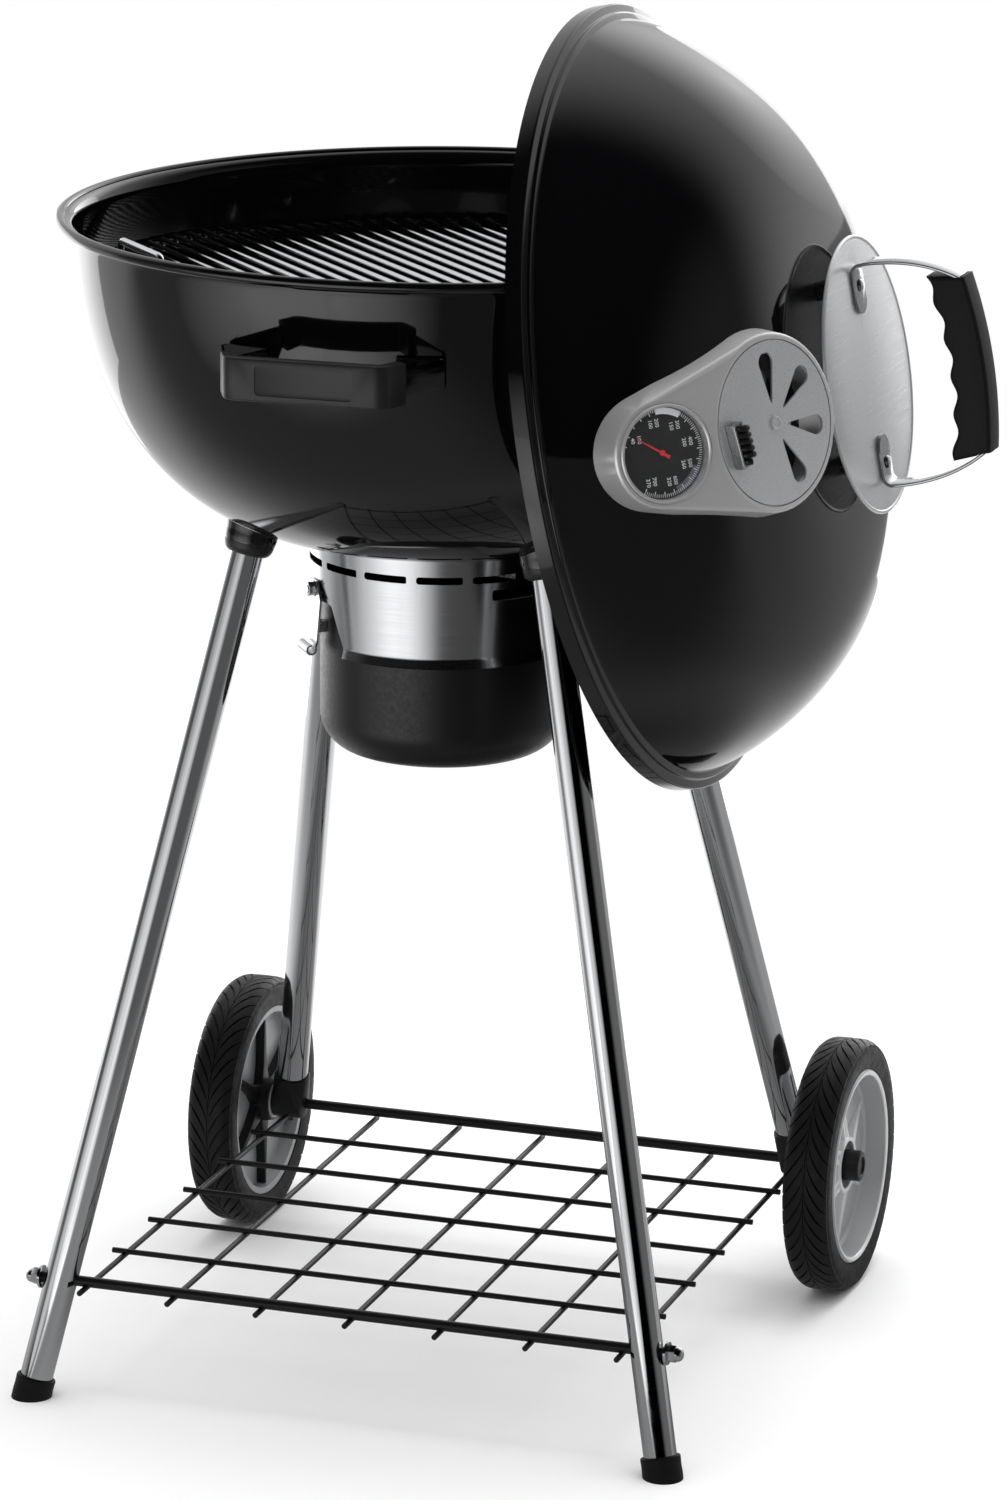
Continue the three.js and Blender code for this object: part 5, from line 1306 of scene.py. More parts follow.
    def nut(self, side: Side) -> Solid:
        """A washer and a domed six-sided nut on the rod's end.

        Args:
            side: which end.

        Returns:
            Washer and nut.
        """
        start = Vector((side.value * self.rod_end, self.rod_y, self.rod_z))
        out = along(start, start + Vector((side.value, 0, 0)))
        hole = self.rod_hole
        washer = revolve(rounded([(hole, 0), (8.5, 0), (8.5, 2), (hole, 2)], 0.3, 2), 40, closed=True)
        hexagon = plate([arc(0, 0, 6.4, 0, 300, 5)], 2.02, 7.6, 0.5)
        dome = revolve([(0, 7.0), (5.3, 7.0), (5.3, 8.4), *curve([(5.2, 9.2), (4.6, 12.9), (0, 13)], 8)], 32)
        bore = disc(hole, -1, 8.2, sides=24)
        return (washer + carve(hexagon, [bore]) + carve(dome, [bore])).moved(out)

    def build(self) -> None:
        """Builds the legs with their fittings, the shelf and the axle."""
        for front in (True, False):
            for side in Side:
                at = f"{'front' if front else 'rear'}_{side.word}"
                self.piece(f"socket_{at}", self.socket(front, side), ENAMEL, Body.STAND, (f"leg_socket_{at}",))
                self.piece(f"collar_{at}", self.collar(front, side), NYLON, Body.STAND, (f"leg_collar_{at}",))
                self.piece(f"tube_{at}", self.leg(front, side), CHROME, Body.STAND, (f"leg_{at}",))
        for side in Side:
            self.piece(f"cap_{side.word}", self.foot_cap(side), RUBBER, Body.STAND, (f"foot_cap_{side.word}",))
            self.piece(f"bracket_axle_{side.word}", self.axle_bracket(side), NYLON, Body.STAND,
                       (f"axle_bracket_{side.word}",), crease=40, bevel=0.6)
            self.piece(f"nut_{side.word}", self.nut(side), CHROME, Body.STAND, (f"shelf_nut_{side.word}",))
        self.piece("shelf_wires", self.shelf(), POWDER_COAT, Body.STAND, ("wire_shelf",))
        ends = [Vector((s * self.axle_half, self.axle_y, self.axle_z)) for s in (-1, 1)]
        self.piece("axle_rod", rod(*ends, self.axle_radius, 24), POWDER_COAT, Body.STAND, ("axle",))


@dataclass
class Wheel(SubAssembly):
    """A wheel: a tyre with curved sipes on a silver disc with six ribbed spokes, and its hub cap."""

    side: Side
    axle_y: float = 231.3
    radius: float = 97.0
    inner_face: float = 222.6
    width: float = 36.0
    bore: float = 75.0
    tread: float = 2.2
    blocks: int = 46
    spokes: int = 6
    web: float = 240.1  # outer face of the dished web
    hub_face: float = 247.6
    lip: float = 5.3  # width of the rim's lip

    def on_axle(self, shape: Solid) -> Solid:
        """Puts a shape turned about +Z, measured out from the grill's middle, on the axle."""
        centre = Vector((0, self.axle_y, self.radius))
        return shape.moved(along(centre, centre + Vector((self.side.value, 0, 0))))

    def crown(self, across: float) -> float:
        """Radius of the tread at a distance from the tyre's middle plane.

        Args:
            across: the distance.

        Returns:
            The radius.
        """
        shoulder = self.width / 2 - 9
        over = max(abs(across) - shoulder, 0.0) / 9
        return self.radius - 0.02 * abs(across) - 4.6 * over ** 2.2

    def tread_block(self, half: int) -> Solid:
        """One block between two sipes on one half of the tread, bent to the tyre.

        Args:
            half: 1 for the outer half, -1 for the inner.

        Returns:
            The block, about the Z axis at the middle plane.
        """
        pitch, sipe, rows = 2 * math.pi / self.blocks, 0.17, 10
        reach = self.width / 2 - 0.8
        verts, faces = [], []
        for i in range(rows + 1):
            share = i / rows
            across = 0.25 + share * (reach - 0.25)
            swing = pitch * 2.3 * (share ** 0.62)
            narrow = sipe * (0.45 + 0.9 * math.sin(math.pi * min(share * 1.15, 1.0)))
            for j in range(5):
                angle = swing + pitch * (narrow / 2 + (1 - narrow) * j / 4)
                for depth in (0.0, -self.tread - 1.0):
                    radius = self.crown(across) + depth
                    verts.append((radius * math.cos(angle), radius * math.sin(angle), across * half))
        for i in range(rows):
            for j in range(4):
                a, b = (i * 5 + j) * 2, ((i + 1) * 5 + j) * 2
                faces += [(a, a + 2, b + 2, b), (a + 1, b + 1, b + 3, a + 3)]
            for j in (0, 4):
                a, b = (i * 5 + j) * 2, ((i + 1) * 5 + j) * 2
                faces.append((a, b, b + 1, a + 1))
        for i in (0, rows):
            for j in range(4):
                a = (i * 5 + j) * 2
                faces.append((a, a + 1, a + 3, a + 2))
        return Solid(verts, faces)

    def tyre(self) -> Solid:
        """The carcass with flat side walls, and the tread blocks round it.

        Returns:
            The tyre, about the Z axis.
        """
        middle, half = self.inner_face + self.width / 2, self.width / 2
        side = [(self.bore, half - 1.2), (self.bore + 3, half - 0.8), (self.bore + 5, half - 0.3), (87, half),
                *curve([(88.4, half - 0.1), (91.6, half - 0.6), (92.2, half - 2.4)], 6)]
        base = [(self.crown(a) - self.tread, a) for a in (13, 9, 4, 0, -4, -9, -13)]
        profile = side + base + [(r, -a) for r, a in side[::-1]]
        shape = revolve(profile, 128, closed=True)
        for sign in (1, -1):
            shape += RING.run(TREAD, self.tread_block(sign), Count=self.blocks, First=0.0, Step=360 / self.blocks)
        return shape.moved(Matrix.Translation((0, 0, middle)))

    def spoke(self) -> Solid:
        """A narrow tapering spoke with a ridge along each edge and a groove between.

        Returns:
            The spoke, along +X.
        """
        web, hub = self.web, self.hub_face
        verts, faces, steps = [], [], 8
        for i in range(steps + 1):
            share = i / steps
            radius = 20.5 + share * (69.4 - 20.5)
            half, top = 5.6 - 3.9 * share, hub - 0.8 - (hub - web - 1.2) * share ** 0.8
            for y, z in ((-half - 1.2, web - 1), (-half, top), (-half * 0.45, top), (0, top - 1.6), (half * 0.45, top),
                         (half, top), (half + 1.2, web - 1)):
                verts.append((radius, y, z))
        for i in range(steps):
            for j in range(7):
                k = (j + 1) % 7
                faces.append((i * 7 + j, i * 7 + k, (i + 1) * 7 + k, (i + 1) * 7 + j))
        faces += [tuple(range(7)), tuple(range(steps * 7, steps * 7 + 7))]
        return Solid(verts, faces)

    def wheel_disc(self) -> Solid:
        """The moulded disc: rim, dished web and hub.

        Returns:
            The disc, about the Z axis.
        """
        rim, lip, web, hub = self.bore - GAP, self.bore - self.lip, self.web, self.hub_face
        outer = self.inner_face + self.width
        profile = [(4.3, 220.3), (13.6, 220.3), (14, 221), (14, 236.1), (lip - 0.6, 236.1), (lip, 235.4),
                   (lip, 225.0), (rim - 0.4, 224.6), (rim, 225), (rim, outer - 2.2), (rim - 0.9, outer - 0.9),
                   (rim - 2.4, outer - 0.2), (lip + 0.3, outer - 1.2), (lip - 0.3, outer - 4), (lip - 1.6, web + 2),
                   (lip - 4.2, web), (23.5, web), (22.2, web + 1.2), (22, 246.4), (21, hub), (18.6, hub),
                   (18, 247), (18, 242.4), (17.6, 242.1), (4.3, 242.1)]
        return revolve(profile, 96, closed=True)

    def edges(self) -> Solid:
        """The spokes, and the rings on the rim's lip and on the hub, in a lighter silver that is a painted highlight.

        Returns:
            Spokes and rings.
        """
        outer, lip = self.inner_face + self.width, self.bore - self.lip
        spokes = RING.run(SILVER_HIGHLIGHT, self.spoke(), Count=self.spokes, First=0.0, Step=360 / self.spokes)
        rim = [(lip + 0.1, outer - 1.6), (lip + 0.5, outer - 0.7), (lip + 2.6, outer + 0.1), (lip + 3.4, outer - 0.3),
               (lip + 2.6, outer - 0.9)]
        hub = [(18.1, 246.6), (18.6, 247.8), (21.2, 247.8), (22.2, 246.6), (22.3, 241), (21.2, 241), (20.6, 246.6)]
        return spokes + revolve(rim, 128, closed=True) + revolve(hub, 64, closed=True)

    def ribs(self) -> Solid:
        """The dark star on the disc's inner side: tapering ribs round a boss.

        Returns:
            Ribs and boss.
        """
        rib = plate([[(12, 8.5), (30, 3.6), (69.2, 1.2), (69.2, -1.2), (30, -3.6), (12, -8.5)]], 229, 236.3, 0.6)
        boss = revolve([(14.1, 221.5), (15.6, 221.5), (17, 229), (17, 236.3), (14.1, 236.3)], 48, closed=True)
        return RING.run(NYLON, rib, Count=self.spokes, First=0.0, Step=360 / self.spokes) + boss

    def hub_cap(self) -> Solid:
        """The turned hub cap with its flange.

        Returns:
            The cap, about the Z axis.
        """
        end = self.inner_face + self.width + GAP
        profile = [(0, 252.9), (4.3, 252.9), (4.3, 242.4), (13.6, 242.4), (14, 242.8), (14, 244.8), (13.4, 245.4),
                   (12, 245.6), (11.8, end - 3.5), *curve([(11.7, end - 1.2), (11.2, end), (7.4, end)], 6),
                   (6.6, end - 1.4), (0, end - 1.6)]
        return revolve(profile, 48)

    def build(self) -> None:
        """Builds the three pieces of a wheel."""
        word, body = self.side.word, (Body.WHEEL_LEFT if self.side is Side.LEFT else Body.WHEEL_RIGHT)
        self.piece(f"tyre_tread_{word}", self.on_axle(self.tyre()), TREAD, body, (f"tyre_{word}",), crease=40)
        self.piece(f"disc_{word}", self.on_axle(self.wheel_disc()), SILVER_PAINT, body, (f"wheel_disc_{word}",),
                   crease=28, bevel=0.25)
        # The spokes and rings take the lighter silver: a painted highlight on the raised edges.
        self.piece(f"disc_edges_{word}", self.on_axle(self.edges()), SILVER_HIGHLIGHT, body, crease=28)
        self.piece(f"disc_ribs_{word}", self.on_axle(self.ribs()), NYLON, body, crease=28)
        self.piece(f"cap_hub_{word}", self.on_axle(self.hub_cap()), NYLON, body, (f"hub_cap_{word}",))


# ---------- ash catcher ----------


def outward_plate(outline: Line, near: float, far: float, angle: float = 0.0) -> Solid:
    """A prism of a sideways outline that looks out from the Z axis between two distances."""
    return plate([outline], near, far, 0.0).moved(OUTWARD).turned(angle)


@dataclass
class AshCatcher(SubAssembly):
    """The perforated collar under the bowl, the pot that latches to it, and the damper above it."""

    bowl: Bowl
    top: float = 622.82
    height: float = 73.0
    lip: float = 6.5
    top_radius: float = 98.0
    bottom_radius: float = 94.0
    sheet: float = 1.2
    slot_drop: float = 14.4
    lever_drop: float = 26.5
    bolt_drop: float = 35.5
    slots: int = 15
    pot_drop: float = 36.0  # from the collar's top to the pot's
    pot_sheet: float = 1.6
    pot_radius: float = 89.5
    pot_height: float = 124.0
    pot_corner: float = 28.0
    lever_angle: float = -12.0
    lever_reach: float = 158.0
    latch_angles: tuple[float, float] = (-142.0, 38.0)

    def radius_at(self, z: float) -> float:
        """The collar's outer radius at a height."""
        return self.bottom_radius + (self.top_radius - self.bottom_radius) * (z - self.top + self.height) / self.height

    def collar(self) -> Solid:
        """The brushed collar: flared foot, a ring of long slots, the lever's slot and two windows.

        Returns:
            The collar.
        """
        low, foot = self.top - self.height, self.top - self.height - self.lip
        outer = rounded([(self.top_radius, self.top), (self.bottom_radius, low), (self.bottom_radius + 2.6, foot)],
                        5, 6)
        profile = outer + offset(outer, -self.sheet)[::-1]
        slot_z, lever_z, bolt_z = self.top - self.slot_drop, self.top - self.lever_drop, self.top - self.bolt_drop
        slot = outward_plate(rounded_loop([(16.7, slot_z + 2.7), (-16.7, slot_z + 2.7), (-16.7, slot_z - 2.7),
                                           (16.7, slot_z - 2.7)], 2.6), 85, 110)
        slots = RING.run(BRUSHED_ROUND, slot, Count=self.slots, First=-72.0, Step=360 / self.slots)
        sector = arc(0, 0, 112, -49, 12, 24) + arc(0, 0, 80, 12, -49, 24)
        window = rounded_loop([(23.7, self.top - 43), (-23.7, self.top - 43), (-39, foot - 3), (39, foot - 3)], 5)
        tools = [slots, plate([sector], lever_z - 4, lever_z + 4, 1.5), self.bowl.room()]
        for angle in self.latch_angles:
            tools.append(outward_plate(window, 70, 120, angle))
            tools.append(rod(Vector((85, 0, bolt_z)), Vector((110, 0, bolt_z)), 3.6, 24).turned(angle))
        return carve(revolve(profile, 180, closed=True), tools)

    def pot(self) -> Solid:
        """The pot, deep drawn with a round lower corner.

        Returns:
            The pot.
        """
        top, corner, sheet = self.top - self.pot_drop, self.pot_corner, self.pot_sheet
        bottom = top - self.pot_height
        centre = (self.pot_radius - corner, bottom + corner)
        outer = [(0, bottom), *arc(*centre, corner, -90, 0, 14), (self.pot_radius, top - 0.6),
                 (self.pot_radius - 0.5, top)]
        inner = [(self.pot_radius - sheet, top), *arc(*centre, corner - sheet, 0, -90, 14), (0, bottom + sheet)]
        return revolve(outer + inner, 128)

    def latch(self, angle: float) -> Solid:
        """A pressed latch: plate with a rolled finger edge, and the pad that bears on the pot.

        Args:
            angle: where it hangs, in degrees from +X.

        Returns:
            The latch.
        """
        z = self.top - self.bolt_drop
        x = self.radius_at(z) + 0.8
        line = [(x + 0.75, z + 8), (x + 0.75, z - 42), *arc(x + 4.1, z - 45, 3.35, 180, 450, 14)]
        bent = strip(line, 1.5, 22, 0.3).moved(UPRIGHT)
        outline = rounded_loop([(-11.6, z + 6), (7.3, z + 7), (14.5, z - 6), (6.5, z - 37.6), (2.9, z - 43),
                                (2.9, z - 52),
                                (-18.5, z - 52), (-18.5, z - 42), (-14.5, z - 37), (-14.5, z - 4)], 3)
        body = carve(bent, [outward_plate(outline, 80, 115)], "INTERSECT")
        pad = block((self.pot_radius + 0.3, -4, z - 32), (x + 0.7, 4, z - 24))
        hole = rod(Vector((85, 0, z)), Vector((110, 0, z)), 3.4, 24)
        return (carve(body, [hole]) + pad).turned(angle)

    def bolt(self, angle: float) -> Solid:
        """The latch's bolt: a six-sided head with a chamfer, and its shank.

        Args:
            angle: where it sits, in degrees from +X.

        Returns:
            Head, shank and washer.
        """
        z = self.top - self.bolt_drop
        start = self.radius_at(z) + 2.6
        head = plate([arc(0, 0, 5.2, 0, 300, 5)], 0, 4.4, 0.5)
        shape = head + disc(2.9, -6.5, 5.0, 0.4, 24) + disc(5.9, -0.28, 0.3, 0.2, 32)
        return shape.moved(along(Vector((start, 0, z)), Vector((start + 1, 0, z)))).turned(angle)

    def vanes(self) -> Solid:
        """The three blades that sweep the ash vents, on their spindle.

        Returns:
            Blades, hub and spindle.
        """
        z = (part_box("damper_vanes")[1][2] / MM) - 3.6
        outline = arc(0, 0, 80, -21, 21, 16) + [(-2, 0)]
        blade = plate([rounded_loop(outline, 2)], z, z + 1.8, 0.4)
        blades = RING.run(TUMBLED_STEEL, blade, Count=self.bowl.vents, First=29.0, Step=360 / self.bowl.vents)
        spindle_z = self.top - self.lever_drop + 1.8
        return blades + disc(12, z - 0.1, z + 3.6, 0.6, 40) + disc(4, spindle_z, z + 1, 0.3, 24)

    def lever(self) -> Solid:
        """The lever that turns the blades.

        Returns:
            The lever with its eye.
        """
        z = self.top - self.lever_drop
        corners = [(self.lever_reach, 5.5), (-5.5, 5.5), (-5.5, -5.5), (self.lever_reach, -5.5)]
        eye = disc(8, z - 2.5, z + 1.5, 0.4, 40)
        return (plate([rounded_loop(corners, 4)], z - 1.5, z + 1.5, 0.5) + eye).turned(self.lever_angle)

    def knob(self) -> Solid:
        """The ball on the lever's end.

        Returns:
            The ball.
        """
        z = self.top - self.lever_drop
        profile = [(0, -9.5), *curve([(3, -9.5), (4.6, -9.3), (4.9, -6.5)], 5), *arc(0, 0, 8, -52, 90, 16)]
        profile[-1] = (0, 8)
        centre = Vector((self.lever_reach, 0, z))
        return revolve(profile, 40).moved(along(centre, centre + Vector((1, 0, 0)))).turned(self.lever_angle)

    def build(self) -> None:
        """Builds the collar, the pot, its latches and the damper."""
        self.piece("collar_ash", self.collar(), BRUSHED_ROUND, Body.STAND, ("ash_collar",), crease=40)
        self.piece("pot_ash", self.pot(), HEAT_PAINT, Body.ASH_POT, ("ash_pot",))
        for side, angle, body in zip(Side, self.latch_angles, (Body.LATCH_LEFT, Body.LATCH_RIGHT)):
            self.piece(f"latch_{side.word}", self.latch(angle), TUMBLED_STEEL, body, (f"pot_latch_{side.word}",))
            self.piece(f"bolt_{side.word}", self.bolt(angle), TUMBLED_STEEL, Body.STAND, (f"latch_bolt_{side.word}",))
        self.piece("vanes_damper", self.vanes(), TUMBLED_STEEL, Body.DAMPER, ("damper_vanes",))
        self.piece("lever_damper", self.lever(), TUMBLED_STEEL, Body.DAMPER, ("damper_lever",))
        self.piece("knob_damper", self.knob(), NYLON, Body.DAMPER)


# ---------- lid: made in its own frame, +Z out of the dome, +X down the hung lid, -Y to the front ----------


@dataclass
class Lid(SubAssembly):
    """The enamelled dome with its stepped rim, and the strap that hooks it on the bowl."""

    bowl: Bowl
    radius: float = 280.8
    dome_radius: float = 270.6
    band: float = 11.5
    step: float = 3.6
    start: float = 12.2
    rise: float = 137.8
    side: float = 0.51
    crown: float = 1.7
    sheet: float = 1.6
    hook_sheet: float = 2.3
    hook_half: float = 15.0
    tilt: float = 10.2
    centre: tuple[float, float, float] = (155.157, 0.0, 732.768)

    def line(self) -> Line:
        """Outer line from the rim to the top of the dome.

        Returns:
            Radius and height of its points.
        """
        step_radius = (self.radius + self.dome_radius) / 2 - self.sheet
        step_top = self.band + self.step
        dome = []
        for i in range(97):
            a = math.pi / 2 * i / 96
            point = (self.dome_radius * math.cos(a) ** self.side, self.start + self.rise * math.sin(a) ** self.crown)
            if point[1] > step_top + 1.2:
                dome.append(point)
        dome[-1] = (0, dome[-1][1])
        band = rounded([(self.radius, 0), (self.radius, self.band), (step_radius, self.band + 1.6),
                        (step_radius, step_top), dome[0]], 1.8)
        return band + dome[1:]

    def height_at(self, radius: float) -> float:
        """Height of the dome's outer face at a distance from the lid's axis.

        Args:
            radius: the distance.

        Returns:
            The height, or 0 beyond the dome.
        """
        line = self.line()[::-1]
        for (r0, z0), (r1, z1) in zip(line, line[1:]):
            if r1 >= radius:
                return z0 + (z1 - z0) * (radius - r0) / (r1 - r0)
        return 0.0

    def hung(self, shape: Solid) -> Solid:
        """Puts a shape made in the lid's own frame where the lid hangs."""
        return shape.moved(Matrix.Translation(self.centre) @ Matrix.Rotation(math.radians(90 - self.tilt), 4, "Y"))

    def room(self) -> Solid:
        """The dome's room, to trim what sits on it.

        Returns:
            The room as a solid.
        """
        line = offset(self.line(), -GAP)
        line[0], line[-1] = (line[0][0], 0), (0, line[-1][1])
        return revolve([(0, 0), *line], 128)

    def shell(self, tools: list[Solid]) -> Solid:
        """The shell with its holes.

        Args:
            tools: what its holes are cut with.

        Returns:
            The lid, in its own frame.
        """
        outer = self.line()
        inner = offset(outer, self.sheet)
        inner[-1], inner[0] = (0, inner[-1][1]), (inner[0][0], 0)
        return carve(revolve([*inner[::-1], *outer], 160), tools)

    def hook(self) -> Solid:
        """The bent strap inside the dome that hooks over the bowl's rim.

        Returns:
            The hook.
        """
        tilt = math.radians(self.tilt)
        seat = self.bowl.rim_height + self.bowl.bead + GAP + self.hook_sheet / 2

        def wall(z: float) -> float:
            """Place of the dome's inner side at a height, less the hook's room.

            Args:
                z: the height.

            Returns:
                Its distance from the bowl's axis.
            """
            x = self.centre[0] + self.rise
            for _ in range(20):
                across = -(x - self.centre[0]) * math.sin(tilt) + (z - self.centre[2]) * math.cos(tilt)
                height = self.height_at(abs(across)) - self.sheet
                x = self.centre[0] + (height - (z - self.centre[2]) * math.sin(tilt)) / math.cos(tilt)
            return x - 2.0

        inside = self.bowl.radius - self.sheet - 5.75
        tail = [(wall(z), z) for z in (seat + 6, seat + 12, seat + 20, seat + 26)]
        line = rounded([(inside, seat - 16), (inside, seat), (wall(seat), seat), *tail], 4)
        return strip(line, self.hook_sheet, self.hook_half, 0.6).moved(UPRIGHT)

    def build(self) -> None:
        """Builds the hook; the shell waits for its holes."""
        self.piece("hook_lid", self.hook(), TUMBLED_STEEL, Body.LID, ("lid_hook",))


@dataclass
class VentHousing(SubAssembly):
    """The cast housing on the dome, with the vent disc, its wound grip and the thermometer."""

    lid: Lid
    vent: tuple[float, float, float] = (164.8, 144.6, 24.5)  # radius, height, tilt
    gauge: tuple[float, float, float] = (245.8, 93.38, 45.5)
    vent_radius: float = 62.0
    gauge_radius: float = 38.0
    draft: float = 11.0
    depth: float = 60.0
    edge: float = 3.0
    disc_radius: float = 56.5
    disc_top: float = 1.9
    case_radius: float = 34.0
    stem_hole: float = 4.3
    needle_angle: float = -38.0
    tab_at: float = 41.0  # from the disc's middle to the middle of the wound grip
    tab_turn: float = 8.0
    dial_radius: float = 31.2
    mark_bottom: float = -6.68  # of the dial's printed marks, just over its plate
    number_size: float = 4.1
    number_at: tuple[float, float, float] = (21.0, 0.0, -6.65)  # a number's middle before it is turned round

    def on(self, seat: tuple[float, float, float], shape: Solid) -> Solid:
        """Puts a piece on one of the two seats: its +Z out of the lid, +X to the front, +Y down.

        Args:
            seat: radius, height and tilt of the seat.
            shape: the piece.

        Returns:
            The piece in the lid's frame.
        """
        radius, height, tilt = seat
        place = Matrix.Translation((0, -radius, height)) @ Matrix.Rotation(math.radians(tilt), 4, "X") \
            @ Matrix.Rotation(-math.pi / 2, 4, "Z")
        return shape.moved(place)

    def slots(self, low: float, high: float) -> Solid:
        """The fan of drop-shaped slots, as a solid between two heights.

        Args:
            low: the lower height.
            high: the upper one.

        Returns:
            The four slots.
        """
        inner, outer, end = 11.0, 42.0, 7.0
        spread = math.degrees(math.acos(end / (outer - inner)))
        drop = [(inner, 0), *arc(outer, 0, end, -180 + spread, 180 - spread, 24)]
        slot = plate([rounded_loop(drop, 1.2)], low, high, 0.0)
        return RING.run(BRUSHED_SHEET, slot, Count=4, First=114.0, Step=52.0)

    def rim(self, radius: float, low: float, high: float) -> Solid:
        """The points of a round plate's lower face."""
        return Solid([v for v in disc(radius, low, high, sides=56).verts if abs(v.z - low) < 1e-4])

    def housing(self) -> Solid:
        """The casting: two round seats drawn together, with a soft upper edge and recesses for disc and gauge.

        Returns:
            The casting, in the lid's frame.
        """
        points: list[Vector] = []
        for seat, radius, top in ((self.vent, self.vent_radius, self.disc_top), (self.gauge, self.gauge_radius, 0.0)):
            for i in range(5):
                a = math.radians(90 * i / 4)
                level = top - self.edge + self.edge * math.sin(a)
                points += self.on(seat, self.rim(radius - self.edge * (1 - math.cos(a)), level, top)).verts
            points += self.on(seat, self.rim(radius + self.draft, -self.depth, 0)).verts
        tools = [self.lid.room(), self.on(self.vent, disc(self.disc_radius + 0.9, 0, 12, sides=96)),
                 self.on(self.vent, disc(48, -120, 1, sides=64)),
                 self.on(self.gauge, disc(self.case_radius + 0.3, -10.3, 20, sides=96)),
                 self.on(self.gauge, disc(self.stem_hole, -60, 0, sides=24))]
        return carve(hull(points), tools)

    def vent_disc(self) -> Solid:
        """The brushed disc with its slots and the rivet that it turns on.

        Returns:
            Disc and rivet.
        """
        sheet = carve(disc(self.disc_radius, GAP, self.disc_top, 0.35, 128), [self.slots(-1, 5)])
        rivet = [(0, 1), (5.2, 1), (5.2, 2.4), *curve([(5.1, 2.8), (4.4, 3.3), (3.6, 3.3)], 5), (3.2, 2.9), (0, 2.9)]
        return sheet + revolve(rivet, 40)

    def tab(self) -> Solid:
        """The upright tab that the wire is wound on.

        Returns:
            Tab, ears and core.
        """
        foot = self.disc_top + GAP
        upright = plate([rounded_loop([(-16, 0), (16, 0), (16, 9), (-16, 9)], 1.2)], 47.2, 49.0, 0.4)
        facing = Matrix.Translation((0, 0, foot)) @ OUTWARD
        ears = block((39, -15.6, foot), (47.6, -13.8, foot + 8.4)) + block((39, 13.8, foot), (47.6, 15.6, foot + 8.4))
        core = rod(Vector((self.tab_at, -15, foot + 7)), Vector((self.tab_at, 15, foot + 7)), 2.4, 16)
        return upright.moved(facing) + ears + core

    def coil(self) -> Solid:
        """The wound wire, five turns.

        Returns:
            The wire.
        """
        wound = COIL.run(POWDER_COAT, Turns=5.2, Radius=4.1, Length=24.6, Wire=2.25)
        start = Matrix.Translation((self.tab_at, -12.3, self.disc_top + GAP + 7))
        return wound.moved(start @ Matrix.Rotation(-math.pi / 2, 4, "X"))

    def case(self) -> Solid:
        """The gauge's plated case with its rounded bezel and stem.

        Returns:
            The case.
        """
        inner = self.case_radius - 2.4
        bezel = curve([(self.case_radius, 0.6), (self.case_radius - 0.2, 2.1), (self.case_radius - 1.6, 2.0)], 6)
        return revolve([(0, -45), (3.6, -45), (4, -44), (4, -10), (self.case_radius, -10), *bezel, (inner, 1.1),
                        (inner, -8), (0, -8)], 96)

    def ticks(self) -> tuple[Solid, Solid]:
        """The dial's marks: short ones round it, and long ones every fifth, with the two heat zones.

        Returns:
            The white marks and the blue zone.
        """
        z = self.mark_bottom
        short = plate([[(28.2, -0.22), (30.6, -0.22), (30.6, 0.22), (28.2, 0.22)]], z, z + 0.06, 0.0)
        long = plate([[(26.6, -0.3), (30.6, -0.3), (30.6, 0.3), (26.6, 0.3)]], z, z + 0.06, 0.0)
        white = RING.run(DIAL_WHITE, short, Count=96, First=-305.0, Step=3.0) \
            + RING.run(DIAL_WHITE, long, Count=20, First=-305.0, Step=15.0)
        white += plate([arc(0, 0, 30.8, -127, -90, 20) + arc(0, 0, 26.4, -90, -127, 20)], z, z + 0.05, 0.0)
        blue = plate([arc(0, 0, 30.8, -255, -210, 20) + arc(0, 0, 25.6, -210, -255, 20)], z, z + 0.05, 0.0)
        return white, blue

    def numbers(self) -> Solid:
        """Plain numbers round the dial, in two scales.

        Returns:
            All the numbers.
        """
        shape = Solid()
        for upper, lower, angle in ((100, 40, -36), (200, 100, -84), (300, 150, -128), (400, 200, -170),
                                    (500, 260, -212), (600, 320, -256), (700, 370, -300)):
            for value, shift in ((upper, 0.6), (lower, -4.2)):
                data = bpy.data.curves.new("number", "FONT")
                data.body, data.size, data.resolution_u = str(value), self.number_size, 2
                data.extrude, data.align_x = 0.03, "CENTER"
                text = worked(add_object("number", data))
                at = Matrix.Rotation(math.radians(angle), 4, "Z") @ Vector(self.number_at)
                turned = Matrix.Rotation(math.pi / 2, 4, "Z") @ Matrix.Translation((0, shift, 0))
                shape += Solid(text.verts, text.faces).moved(Matrix.Translation(at) @ turned)
        return shape

    def needle(self) -> Solid:
        """The pointer with its counterweight and boss."""
        outline = rounded_loop([(-6.6, -1.3), (0, -0.75), (21.5, -0.3), (21.5, 0.3), (0, 0.75), (-6.6, 1.3)], 0.25)
        return (plate([outline], -6.3, -5.6, 0.15) + disc(2.0, -6.3, -4.8, 0.4, 32)).turned(self.needle_angle)

